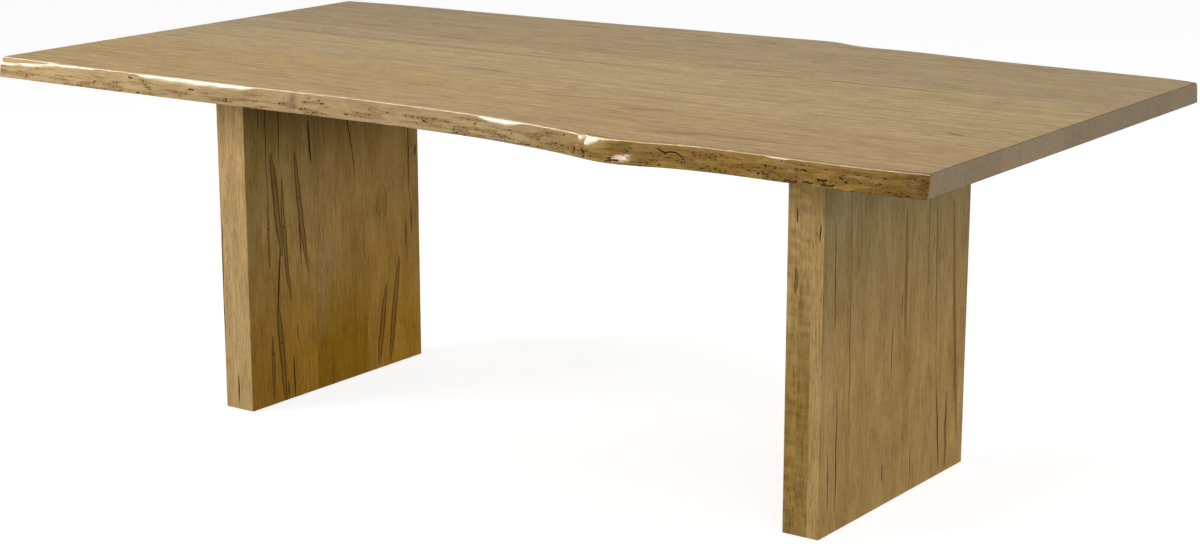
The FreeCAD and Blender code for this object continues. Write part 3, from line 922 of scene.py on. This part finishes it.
@dataclass
class LiveEdge:
    """Board of the top that keeps the tree's waney edge, with the wood under the bark bored by beetles.

    Side is the edge's sign of Y. Each facet gives a share along the edge, the drop of its upper slope and how
    far under the top the slope starts, in mm. Bored gives how thickly beetles bored at shares along the edge.
    A track runs through shares along the edge and up it. Ripples and the sway of the tracks give a size in mm,
    how close they are per metre and a shift of the seed. Worm sizes are a track's length, width and depth.
    """

    name: str
    side: float
    seed: int
    facets: tuple[Triple, ...]
    bored: tuple[Pair, ...]
    dents: tuple[Hollow, ...]
    knots: tuple[Hollow, ...]
    tracks: tuple[tuple[Pair, ...], ...]
    column_mm: float = 1.6
    row_mm: float = 1.4
    arris_mm: Pair = (2.0, 3.0)
    arris_steps: int = 6
    end_round_mm: float = 2.0
    end_steps: int = 4
    lean_mm: float = 11.0
    shoulder_share: float = 0.75
    slope_power: float = 1.4
    ripples: tuple[tuple[float, Pair, int], ...] = ((0.9, (9.0, 45.0), 0), (0.4, (60.0, 110.0), 9))
    under_strip_mm: float = 20.0
    top_strip_mm: float = 8.0
    bored_up_to: float = 0.8
    track_steps: int = 40
    track_lean_share: float = 0.8
    track_sway: tuple[float, float, int] = (3.0, 90.0, 4)
    worms_per_m2: float = 600.0
    worm_mm: Triple = (20.0, 1.2, 0.9)
    worm_points: int = 12
    worm_turn: float = 0.15
    worm_stride: Pair = (0.2, 1.0)
    worm_stride_power: float = 2.2
    worm_wander_mm: Triple = (4.0, 0.0, 3.0)
    worm_wander_per_m: float = 130.0
    groove_share: float = 0.45
    gallery_from: float = 0.3
    rind_from: float = 0.75

    @staticmethod
    def quarter_turn(steps: int) -> np.ndarray:
        """Spaces points round a quarter circle of radius one, measured from its edge."""
        return np.array([1 - math.cos(step * math.pi / (2 * steps)) for step in range(steps)])

    def rim(self, along: np.ndarray) -> np.ndarray:
        """Follows the lower rim of the CAD board with a smooth curve.

        Args:
            along: X of each column.

        Returns:
            Distance of the rim from the middle of the top at each column.
        """
        low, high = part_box(self.name)
        hair = MM / 100
        beyond = min(low.y * self.side, high.y * self.side) + self.under_strip_mm * MM
        found = {round(v.co.x, 5): v.co.y * self.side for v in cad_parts[self.name].data.vertices
                 if abs(v.co.z - low.z) < hair and v.co.y * self.side > beyond}
        xs = np.array(sorted(found))
        ys = np.array([found[x] for x in sorted(found)])
        slopes = np.gradient(ys, xs)
        at = np.clip(np.searchsorted(xs, along) - 1, 0, len(xs) - 2)
        gap = xs[at + 1] - xs[at]
        t = (along - xs[at]) / gap
        bend = (2 * t**3 - 3 * t**2 + 1) * ys[at] + (t**3 - 2 * t**2 + t) * gap * slopes[at]
        return bend + (3 * t**2 - 2 * t**3) * ys[at + 1] + (t**3 - t**2) * gap * slopes[at + 1]

    def heights(self, thickness: float) -> np.ndarray:
        """Spaces the rows of the edge, close together at its arrises.

        Args:
            thickness: Thickness of the board.

        Returns:
            Heights from the underside.
        """
        under, over = (arris * MM for arris in self.arris_mm)
        turns = self.quarter_turn(self.arris_steps)
        count = round((thickness - under - over) / (self.row_mm * MM)) + 1
        flat = np.linspace(under, thickness - over, count)
        return np.concatenate([turns * under, flat, thickness - turns[::-1] * over])

    def depth(self, x: float, row: float, thickness: float, facet: Pair) -> float:
        """Tells how far the skin lies behind the lower rim, dents apart.

        Args:
            x: Place along the edge.
            row: Height from the underside.
            thickness: Thickness of the board.
            facet: Drop of the upper slope and how far under the top it starts, in metres.

        Returns:
            Depth in metres.
        """
        drop, start = facet
        shoulder = drop * self.shoulder_share
        slope = min(1.0, max(0.0, (row - thickness + start) / drop + 1.0))
        back = max(0.0, self.lean_mm * MM - shoulder) * (row / thickness) + shoulder * slope**self.slope_power
        for arris_mm, near in zip(self.arris_mm, (row, thickness - row)):
            arris = arris_mm * MM
            back += arris - math.sqrt(max(0.0, arris**2 - max(0.0, arris - near) ** 2))
        for deep_mm, (long, tall), shift in self.ripples:
            back += deep_mm * MM * (1 + noise.noise(Vector((x * long, row * tall, self.seed + shift))))
        return back

    def shape(self) -> bpy.types.Mesh:
        """Builds the board's skin with its facets and dents.

        Returns:
            Mesh with the attributes "rind", "bored" and "knot".
        """
        low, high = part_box(self.name)
        size = (high.x - low.x, high.z - low.z)
        length, thickness = size
        inner = min(low.y * self.side, high.y * self.side)
        end = self.end_round_mm * MM
        turns = self.quarter_turn(self.end_steps) * end
        middle = np.linspace(low.x + end, high.x - end, round(length / (self.column_mm * MM)))
        along = np.concatenate([low.x + turns, middle, high.x - turns[::-1]])
        shares = (along - low.x) / length
        places, drops, starts = zip(*self.facets)
        facets = zip(np.interp(shares, places, drops) * MM, np.interp(shares, places, starts) * MM)
        bored = np.interp(shares, *zip(*self.bored))
        left = np.minimum(along - low.x, high.x - along)
        insets = end - np.sqrt(np.maximum(end**2 - np.maximum(end - left, 0.0) ** 2, 0.0))
        rows = self.heights(thickness)
        plain = (0.0, 0.0, 0.0)
        points, marks = [], []
        for x, share, rim, facet, crowd, inset in zip(along, shares, self.rim(along), facets, bored, insets):
            floor, ceiling = low.z + inset, high.z - inset
            ring = [(inner, floor, plain), (rim - self.under_strip_mm * MM, floor, plain)]
            for row in rows:
                up = row / thickness
                back = self.depth(x, row, thickness, facet) + inset
                back += sum(dent.felt(share, up, size) for dent in self.dents) * MM
                knot = sum(knot.felt(share, up, size) for knot in self.knots)
                mark = (1.0, crowd * (up < self.bored_up_to), knot)
                ring.append((rim - back, floor + (ceiling - floor) * up, mark))
            ring.append((rim - (self.lean_mm + self.top_strip_mm) * MM, ceiling, plain))
            ring.append((inner, ceiling, plain))
            points += [(x, y * self.side, z) for y, z, _ in ring]
            marks += [mark for _, _, mark in ring]
        faces = tube_faces(len(along), len(rows) + 4)
        if self.side < 0:
            faces = [face[::-1] for face in faces]
        mesh = bpy.data.meshes.new(self.name + "_skin")
        mesh.from_pydata(points, [], faces)
        for label, values in zip(("rind", "bored", "knot"), zip(*marks)):
            mesh.attributes.new(label, "FLOAT", "POINT").data.foreach_set("value", np.array(values, float))
        return mesh

    def hand_tracks(self, thickness: float) -> bpy.types.Object:
        """Lays the long tracks that can be told one by one.

        Args:
            thickness: Thickness of the board.

        Returns:
            Object with one edge chain for each track.
        """
        low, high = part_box(self.name)
        sway_mm, per_m, shift = self.track_sway
        points, edges = [], []
        for track in self.tracks:
            shares, ups = zip(*track)
            steps = np.linspace(0.0, 1.0, self.track_steps)
            turns = np.linspace(0.0, 1.0, len(track))
            xs = low.x + np.interp(steps, turns, shares) * (high.x - low.x)
            zs = np.interp(steps, turns, ups) * thickness
            first = len(points)
            for x, z, rim in zip(xs, zs, self.rim(xs)):
                sway = noise.noise(Vector((x * per_m, z * per_m, self.seed + shift))) * sway_mm * MM
                lean = self.lean_mm * MM * self.track_lean_share * z / thickness
                points.append((x, (rim - lean) * self.side, low.z + z + sway))
            edges += [(first + step, first + step + 1) for step in range(self.track_steps - 1)]
        mesh = bpy.data.meshes.new(self.name + "_tracks")
        mesh.from_pydata(points, edges, [])
        holder = bpy.data.objects.new(mesh.name, mesh)
        bpy.context.scene.collection.objects.link(holder)
        return holder

    def worm_tree(self) -> bpy.types.NodeTree:
        """Builds the Geometry Nodes that bite beetle tracks into the rind.

        Returns:
            Tree that scatters short wandering tracks, joins them with the laid ones and sinks both.
        """
        tree, given = new_group("worm_tracks", "GeometryNodeTree", {
            "Geometry": "Geometry", "Tracks": "Object", "Per square metre": "Float", "Length": "Float",
            "Width": "Float", "Depth": "Float", "Seed": "Int", "Sawn": "Material", "Rind": "Material",
            "Gallery": "Material"}, {"Geometry": "Geometry"})
        bored, rind, worm = (add(tree, "GeometryNodeInputNamedAttribute", {"Name": name}, data_type="FLOAT")
                             for name in ("bored", "rind", "worm"))
        crowd = add(tree, MATH, (bored, given["Per square metre"]), operation="MULTIPLY")
        spots = add(tree, "GeometryNodeDistributePointsOnFaces", {
            "Mesh": given["Geometry"], "Density": crowd, "Seed": given["Seed"]})
        turn, stride = (
            add(tree, "FunctionNodeRandomValue", {"Min": least, "Max": most, "Seed": seed}, data_type="FLOAT")
            for seed, least, most in ((1, -self.worm_turn, self.worm_turn), (2, *self.worm_stride)))
        stride = add(tree, MATH, (stride, self.worm_stride_power), operation="POWER")
        way = add(tree, "ShaderNodeCombineXYZ", (0.0, turn, 0.0))
        way = add(tree, "FunctionNodeEulerToRotation", (way,))
        step = add(tree, "ShaderNodeCombineXYZ", (given["Length"], 0.0, 0.0))
        path = add(tree, "GeometryNodeCurvePrimitiveLine", {"Start": (0.0, 0.0, 0.0), "End": step})
        path = add(tree, "GeometryNodeResampleCurve", {"Curve": path, "Count": self.worm_points})
        paths = add(tree, "GeometryNodeInstanceOnPoints", {
            "Points": spots, "Instance": path, "Rotation": way, "Scale": stride})
        paths = add(tree, "GeometryNodeRealizeInstances", (paths,))
        paths = add(tree, "GeometryNodeCurveToMesh", {"Curve": paths})
        reach = tuple(size * MM for size in self.worm_wander_mm)
        wander = add(tree, NOISE, {"Scale": self.worm_wander_per_m, "Detail": 1.0}).node.outputs["Color"]
        wander = add(tree, VECTOR, (wander, MIDDLE), operation="SUBTRACT")
        wander = add(tree, VECTOR, (wander, reach), operation="MULTIPLY")
        paths = add(tree, "GeometryNodeSetPosition", {"Geometry": paths, "Offset": wander})
        laid = add(tree, "GeometryNodeObjectInfo", {"Object": given["Tracks"]}).node.outputs["Geometry"]
        seat = add(tree, "GeometryNodeProximity", {"Geometry": given["Geometry"]}, target_element="FACES")
        laid = add(tree, "GeometryNodeSetPosition", {"Geometry": laid, "Position": seat})
        joined = tree.nodes.new("GeometryNodeJoinGeometry")
        for tracks in (paths, laid):
            tree.links.new(tracks, joined.inputs[0])
        near = add(tree, "GeometryNodeProximity", {"Geometry": joined.outputs[0]}, target_element="EDGES")
        groove = add(tree, MATH, (near.node.outputs["Distance"], given["Width"]), operation="DIVIDE")
        groove = add(tree, RANGE, (groove, 1.0, self.groove_share, *UNIT), interpolation_type="SMOOTHSTEP")
        groove = add(tree, MATH, (groove, rind), operation="MULTIPLY")
        skin = add(tree, "GeometryNodeStoreNamedAttribute", {
            "Geometry": given["Geometry"], "Name": "worm", "Value": groove},
            data_type="FLOAT", domain="POINT")
        bite = add(tree, MATH, (worm, given["Depth"]), operation="MULTIPLY")
        bite = add(tree, MATH, (bite, -1.0), operation="MULTIPLY")
        out = add(tree, "GeometryNodeInputNormal")
        sink = add(tree, VECTOR, {"Vector": out, "Scale": bite}, operation="SCALE")
        skin = add(tree, "GeometryNodeSetPosition", {"Geometry": skin, "Offset": sink})
        skin = add(tree, "GeometryNodeRealizeInstances", (skin,))
        skin = add(tree, "GeometryNodeSetMaterial", {"Geometry": skin, "Material": given["Sawn"]})
        outer = add(tree, "FunctionNodeCompare", {"A": rind, "B": self.rind_from}, operation="GREATER_THAN")
        # The sawn ends have many neighbours, and the skin's faces have four.
        sides = add(tree, "GeometryNodeInputMeshFaceNeighbors")
        small = add(tree, "FunctionNodeCompare", {"A": sides, "B": 5}, data_type="INT", operation="LESS_THAN")
        outer = add(tree, "FunctionNodeBooleanMath", (outer, small), operation="AND")
        deep = add(tree, "FunctionNodeCompare", {"A": worm, "B": self.gallery_from}, operation="GREATER_THAN")
        for faces, finish in ((outer, "Rind"), (deep, "Gallery")):
            skin = add(tree, "GeometryNodeSetMaterial", {
                "Geometry": skin, "Selection": faces, "Material": given[finish]})
        add(tree, "NodeGroupOutput", (skin,))
        return tree

    def build(self, maple: StainedMaple, rind: MapleRind, board: Board) -> None:
        """Replaces the CAD board with the tunnelled one.

        Args:
            maple: Finish of the sawn faces.
            rind: Finish of the waney edge.
            board: The board it was cut to.
        """
        low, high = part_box(self.name)
        laid = self.hand_tracks(high.z - low.z)
        tree = bpy.data.node_groups.get("worm_tracks") or self.worm_tree()
        length, width, depth = (size * MM for size in self.worm_mm)
        mesh = grown(self.shape(), tree, {
            "Tracks": laid, "Per square metre": self.worms_per_m2, "Length": length, "Width": width,
            "Depth": depth, "Seed": self.seed, "Sawn": maple.material(board), "Rind": rind.material(board),
            "Gallery": GALLERY.material()})
        bpy.data.objects.remove(laid)
        new_piece(self.name + "_waney", mesh, ROOT_BODY, self.name)


FRONT_EDGE = LiveEdge(
    "front_live_board", -1.0, 5,
    facets=(
        (0, 7, 11), (0.018, 6, 11), (0.026, 3, 9), (0.034, 7, 9), (0.055, 7, 6), (0.068, 6, 2), (0.082, 8, 0),
        (0.12, 6, 0), (0.13, 3, 0), (0.18, 3, 0), (0.192, 12, 0), (0.25, 16, 0), (0.31, 12, 0), (0.325, 3, 0),
        (0.57, 3, 0), (0.588, 12, 0), (0.61, 13, 0), (0.625, 3, 0), (0.69, 3, 0), (0.7, 22, 0),
        (0.718, 20, 0), (0.728, 13, 0), (0.738, 6, 0), (0.745, 3, 0), (0.86, 3, 0), (0.865, 6, 0),
        (0.88, 6, 0), (0.885, 3, 0), (1, 3, 0)),
    bored=(
        (0, 0.5), (0.22, 0.46), (0.3, 0.38), (0.4, 0.38), (0.5, 0.46), (0.62, 0.55), (0.75, 0.7), (1, 0.78)),
    dents=(
        Hollow(0.7, 0.3, 6.0, 7.0, 4.0), Hollow(0.734, 0.52, 45.0, 18.0, 15.0),
        Hollow(0.742, 0.75, 20.0, 12.0, 3.0), Hollow(0.367, 0.7, 6.0, 9.0, 2.0)),
    knots=(Hollow(0.367, 0.6, 12.0, 15.0, 0.7),),
    tracks=(
        ((0.767, 0.75), (0.775, 0.68), (0.783, 0.65), (0.788, 0.5), (0.7915, 0.3)),
        ((0.724, 0.13), (0.736, 0.25)), ((0.688, 0.42), (0.687, 0.10)), ((0.698, 0.42), (0.701, 0.14)),
        ((0.881, 0.1), (0.892, 0.11)), ((0.897, 0.14), (0.906, 0.13)), ((0.914, 0.14), (0.925, 0.15))))
BACK_EDGE = LiveEdge(
    "back_live_board", 1.0, 8,
    facets=((0, 8, 0), (0.3, 4, 0), (0.6, 10, 0), (0.8, 4, 0), (1, 6, 0)),
    bored=((0, 0.8), (0.5, 0.4), (1, 0.7)),
    dents=(Hollow(0.61, 0.5, 20.0, 14.0, 4.0),),
    knots=(),
    tracks=(((0.2, 0.3), (0.23, 0.6), (0.26, 0.5)),))


@dataclass
class SlabLeg:
    """Pedestal laminated from three plies of upright staves.

    Each stave's tones, at the foot and at the top, are listed by ply from the front. They turn over the fade,
    which is heights in metres. Edge tones are those of a ply's narrow faces, and curls the staves with curl.
    """

    side: str
    seed: int
    tones: dict[str, tuple[tuple[Tone, Tone], ...]]
    edge_tones: dict[str, Tone]
    fade: Pair
    curls: dict[str, float]
    plain_curl: float = 0.2
    height: float = 0.721
    broad_spill_mm: float = 15.0
    narrow_spill_mm: float = 4.0

    def dress(self, maple: StainedMaple) -> None:
        """Gives each stave its own cut of maple.

        Args:
            maple: Finish of the staves.
        """
        staves = sorted(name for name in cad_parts
                        if name.startswith(self.side + "_leg_") and name[-1].isdigit())
        corners = [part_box(name) for name in staves]
        low = Vector(map(min, zip(*(c[0] for c in corners))))
        high = Vector(map(max, zip(*(c[1] for c in corners))))
        broad = Plan((low.y, 0.0), (high.y - low.y, self.height))
        narrow = Plan((low.x, 0.0), (high.x - low.x, self.height))
        wide, tight = self.broad_spill_mm * MM, self.narrow_spill_mm * MM
        for at, (name, (near, far)) in enumerate(zip(staves, corners)):
            ply, number = name.split("_")[2:]
            streaks = []
            for streak in FACE_STREAKS.get(ply, ()):
                reach = sorted((broad.place(streak.start)[1], broad.place(streak.end)[1]))
                if reach[0] - wide < far.y and reach[1] + wide > near.y:
                    streaks.append((streak, broad))
            if number == "1":
                streaks += [(streak, narrow) for streak in EDGE_STREAKS[self.side]
                            if near.x - tight < narrow.place(streak.start)[1] < far.x + tight]
            tones = self.tones[ply][int(number) - 1]
            curl = self.curls.get(ply + "_" + number, self.plain_curl)
            board = Board(name, Grain.UPRIGHT, *tones, self.seed + at, self.fade, tuple(streaks), curl,
                          edge=self.edge_tones.get(ply))
            dress(name, maple.material(board))


HONEY_STAVES = ((Tone.HONEY, Tone.HONEY),) * 4
# The left leg's front staves are pale cream, partly as painted sheen of the key light.
PALE_FRONT = ((Tone.CREAM, Tone.CREAM),) + HONEY_STAVES
# The right leg's front staves are darker tawny at the foot and pale flax at the top: painted shade and painted
# light that even out how the light falls down their front faces.
PAINTED_LIGHT_FRONT = ((Tone.TAWNY, Tone.FLAX),) + HONEY_STAVES
# The second and third inner staves turn to umber at the top, partly as painted shade under the top; the narrow
# faces of the inner ply are pale cream, partly as painted sheen of the key light.
LEFT_LEG = SlabLeg(
    "left", 40,
    tones={"inner": ((Tone.AMBER, Tone.HONEY), (Tone.RUSSET, Tone.UMBER), (Tone.AMBER, Tone.UMBER)),
           "core": PALE_FRONT, "outer": PALE_FRONT},
    edge_tones={"inner": Tone.CREAM}, fade=(0.1, 0.42), curls={})
# The right leg's outer staves darken towards the top into olive: painted shade under the overhang of the top.
RIGHT_LEG = SlabLeg(
    "right", 70,
    tones={"inner": PAINTED_LIGHT_FRONT, "core": PAINTED_LIGHT_FRONT, "outer": ((Tone.UMBER, Tone.OLIVE),) * 4},
    edge_tones={"outer": Tone.FLAX}, fade=(0.26, 0.6), curls={"inner_1": 2.0, "core_1": 1.6})


@dataclass
class TopFixings:
    """Steel plates let into the underside, with the bolts, washers, screws and inserts that hold the top."""

    sides: tuple[str, ...] = ("left", "right")

    def dress(self) -> None:
        """Gives the steel and brass their finishes."""
        black, zinc, brass = POWDER_COAT.material(), ZINC.material(), BRASS.material()
        for side in self.sides:
            dress(side + "_mount_plate", black)
            dress(side + "_top_inserts", brass)
            for kind in ("_leg_screws", "_top_bolts", "_top_washers", "_foot_bushes"):
                dress(side + kind, zinc)


@dataclass
class LevellingFeet:
    """Four feet that screw in and out of the legs, each a threaded stem in a nylon pad."""

    feet: tuple[str, ...] = ("left_front", "left_back", "right_front", "right_back")
    pitch_mm: float = 1.5
    crest_mm: float = 4.95
    root_mm: float = 4.05
    flange_mm: Pair = (8.0, 3.0)
    chamfer_mm: float = 1.0
    socket_mm: Pair = (2.9, 5.0)
    core_sides: int = 48
    turn_sides: int = 32
    pole_share: float = 0.02

    def thread_tree(self) -> bpy.types.NodeTree:
        """Builds the Geometry Nodes that wind a thread round a core.

        Returns:
            Tree that sweeps a three-sided profile along a helix and joins it to the core.
        """
        tree, given = new_group("screw_thread", "GeometryNodeTree", {
            "Geometry": "Geometry", "Turns": "Float", "Radius": "Float", "Pitch": "Float", "Rib": "Float",
            "Foot": "Vector", "Material": "Material"}, {"Geometry": "Geometry"})
        height = add(tree, MATH, (given["Turns"], given["Pitch"]), operation="MULTIPLY")
        helix = add(tree, "GeometryNodeCurveSpiral", {
            "Resolution": self.turn_sides, "Rotations": given["Turns"], "Start Radius": given["Radius"],
            "End Radius": given["Radius"], "Height": height, "Reverse": False})
        rib = add(tree, "GeometryNodeCurvePrimitiveCircle", {"Resolution": 3, "Radius": given["Rib"]})
        ridge = add(tree, "GeometryNodeCurveToMesh", {
            "Curve": helix, "Profile Curve": rib, "Fill Caps": True})
        ridge = add(tree, "GeometryNodeTransform", {"Geometry": ridge, "Translation": given["Foot"]})
        joined = tree.nodes.new("GeometryNodeJoinGeometry")
        for piece in (given["Geometry"], ridge):
            tree.links.new(piece, joined.inputs[0])
        whole = add(tree, "GeometryNodeRealizeInstances", (joined.outputs[0],))
        whole = add(tree, "GeometryNodeSetMaterial", {"Geometry": whole, "Material": given["Material"]})
        add(tree, "NodeGroupOutput", (whole,))
        return tree

    def core(self, name: str) -> bpy.types.Mesh:
        """Turns the flange and core of one stem, with its hexagon key socket from below.

        Args:
            name: CAD node of the stem.

        Returns:
            Mesh in place.
        """
        low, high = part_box(name)
        axis = (low + high) / 2
        tall = high.z - low.z
        flange, thick = (size * MM for size in self.flange_mm)
        key, deep = (size * MM for size in self.socket_mm)
        root, bevel = self.root_mm * MM, self.chamfer_mm * MM
        lip = bevel / 3
        socket = [(key * self.pole_share, deep), (key, deep), (key, 0.0)]
        turned = [(flange - lip, 0.0), (flange, lip), (flange, thick - lip), (flange - lip, thick),
                  (root, thick), (root, tall - bevel), (root - bevel, tall), (root * self.pole_share, tall)]
        points = []
        for at, (radius, up) in enumerate(socket + turned):
            for step in range(self.core_sides):
                turn = step * 2 * math.pi / self.core_sides
                reach = radius
                if at < len(socket):
                    reach *= math.cos(math.pi / 6) / math.cos(turn % (math.pi / 3) - math.pi / 6)
                points.append((axis.x + reach * math.cos(turn), axis.y + reach * math.sin(turn), low.z + up))
        mesh = bpy.data.meshes.new(name + "_core")
        mesh.from_pydata(points, [], tube_faces(len(socket + turned), self.core_sides))
        return mesh

    def build(self) -> None:
        """Makes the threaded stems and gives the pads their finish."""
        zinc, nylon = ZINC.material(), NYLON.material()
        tree = self.thread_tree()
        for foot in self.feet:
            stem = foot + "_foot_stem"
            low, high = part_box(stem)
            rib = (self.crest_mm - self.root_mm) * MM
            start = low.z + self.flange_mm[1] * MM + rib
            turns = (high.z - self.chamfer_mm * MM - rib - start) / (self.pitch_mm * MM)
            middle = (low + high) / 2
            mesh = grown(self.core(stem), tree, {
                "Turns": turns, "Radius": self.crest_mm * MM - rib, "Pitch": self.pitch_mm * MM, "Rib": rib,
                "Foot": (middle.x, middle.y, start), "Material": zinc})
            new_piece(stem + "_threaded", mesh, foot + "_stem", stem)
            dress(foot + "_foot_pad", nylon)


@dataclass(frozen=True)
class Softbox:
    """Rectangular studio light, hung at a place and turned to face its aim."""

    name: str
    place: Triple
    aim: Triple
    size: Pair
    watts: float
    diffuse: bool = True
    glossy: bool = True

    def hang(self) -> None:
        """Hangs the light in the scene."""
        lamp = bpy.data.lights.new(self.name, "AREA")
        lamp.shape = "RECTANGLE"
        lamp.size, lamp.size_y = self.size
        lamp.energy = self.watts
        holder = bpy.data.objects.new(self.name, lamp)
        holder.location = self.place
        holder.rotation_euler = (Vector(self.aim) - Vector(self.place)).to_track_quat("-Z", "Y").to_euler()
        holder.visible_diffuse = self.diffuse
        holder.visible_glossy = self.glossy
        bpy.context.scene.collection.objects.link(holder)


@dataclass
class Studio:
    """Plain pale sweep under soft light from the left, above and the right.

    The card is a strip over the front edge that only shows in the lacquer, as the glints along it.
    """

    eye: Triple = (2.823, -3.948, 1.523)
    azimuth: float = 35.198
    pitch: float = 13.68
    lens_mm: float = 73.39
    sensor_mm: float = 36.0
    sight_m: float = 100.0
    floor_m: float = 40.0
    air: Pair = (0.25, 1.0)
    paper: str = "#ADADAD"
    paper_glow: float = 0.84
    paper_shade: str = "#767676"
    lights: tuple[Softbox, ...] = (
        Softbox("key", (-2.6, -2.8, 1.28), (-0.4, -0.2, 0.45), (1.6, 1.4), 90.0, glossy=False),
        Softbox("ceiling", (0.2, 0.0, 3.3), (0.2, 0.0, 0.7), (3.0, 2.0), 31.0),
        Softbox("card", (-1.2, -1.04, 2.91), (-1.2, -0.56, 0.76), (5.2, 1.0), 1150.0, diffuse=False),
        Softbox("back_fill", (9.6, 4.16, 1.95), (0.0, 0.0, 0.4), (4.0, 1.5), 375.0),
        Softbox("front_fill", (4.5, -3.5, 1.75), (0.0, 0.0, 0.4), (2.4, 1.3), 88.0))

    @staticmethod
    def shown(tree: Any) -> Any:
        """Tells the rays that see the room from those that only light it.

        Args:
            tree: Shader tree.

        Returns:
            Socket that is one for camera, glossy and transmission rays.
        """
        rays = add(tree, "ShaderNodeLightPath").node.outputs
        seen = rays["Is Camera Ray"]
        for ray in ("Is Glossy Ray", "Is Transmission Ray"):
            seen = add(tree, MATH, (seen, rays[ray]), operation="MAXIMUM")
        return seen

    def build_air(self) -> None:
        """Fills the room with even light, dimmer where it falls than where it is seen."""
        world = bpy.data.worlds.new("studio")
        bpy.context.scene.world = world
        world.use_nodes = True
        tree = world.node_tree
        tree.nodes.clear()
        dim, bright = (add(tree, "ShaderNodeBackground", {"Color": linear(WHITE), "Strength": strength})
                       for strength in self.air)
        air = add(tree, "ShaderNodeMixShader", (self.shown(tree), dim, bright))
        add(tree, "ShaderNodeOutputWorld", {"Surface": air})

    def build_floor(self) -> None:
        """Rolls out matt white paper that glows enough to look white and still keeps faint shadows."""
        half = self.floor_m
        mesh = bpy.data.meshes.new("studio_floor")
        corners = [(-half, -half, 0), (half, -half, 0), (half, half, 0), (-half, half, 0)]
        mesh.from_pydata(corners, [], [(0, 1, 2, 3)])
        ground = bpy.data.objects.new("studio_floor", mesh)
        bpy.context.scene.collection.objects.link(ground)
        paper = new_material("white paper sweep")
        tree = paper.node_tree
        lit, dull = (add(tree, "ShaderNodeBsdfDiffuse", {"Color": linear(tone)})
                     for tone in (self.paper, self.paper_shade))
        glow = add(tree, "ShaderNodeEmission", {"Color": linear(WHITE), "Strength": self.paper_glow})
        pale = add(tree, "ShaderNodeAddShader", (lit, glow))
        sheet = add(tree, "ShaderNodeMixShader", (self.shown(tree), dull, pale))
        add(tree, "ShaderNodeOutputMaterial", {"Surface": sheet})
        mesh.materials.append(paper)

    def build(self) -> None:
        """Sets up the room, the lights and the camera."""
        self.build_air()
        self.build_floor()
        for light in self.lights:
            light.hang()
        camera = bpy.data.cameras.new("camera")
        camera.sensor_width = self.sensor_mm
        camera.lens = self.lens_mm
        camera.clip_end = self.sight_m
        holder = bpy.data.objects.new("camera", camera)
        holder.location = self.eye
        turn, dip = math.radians(self.azimuth), math.radians(self.pitch)
        ahead = Vector((-math.sin(turn) * math.cos(dip), math.cos(turn) * math.cos(dip), -math.sin(dip)))
        holder.rotation_euler = ahead.to_track_quat("-Z", "Y").to_euler()
        scene = bpy.context.scene
        scene.collection.objects.link(holder)
        scene.camera = holder
        scene.view_settings.view_transform = "Standard"


def main() -> None:
    """Builds and dresses every sub-assembly in order."""
    logging.basicConfig(level=logging.INFO, format="%(name)s: %(message)s")
    maple = StainedMaple()
    rind = MapleRind(maple)
    top = PlankTop()
    top.dress(maple)
    for edge in (FRONT_EDGE, BACK_EDGE):
        edge.build(maple, rind, top.board(edge.name))
    for leg in (LEFT_LEG, RIGHT_LEG):
        leg.dress(maple)
    TopFixings().dress()
    LevellingFeet().build()
    Studio().build()


if __name__ == "__main__":
    main()
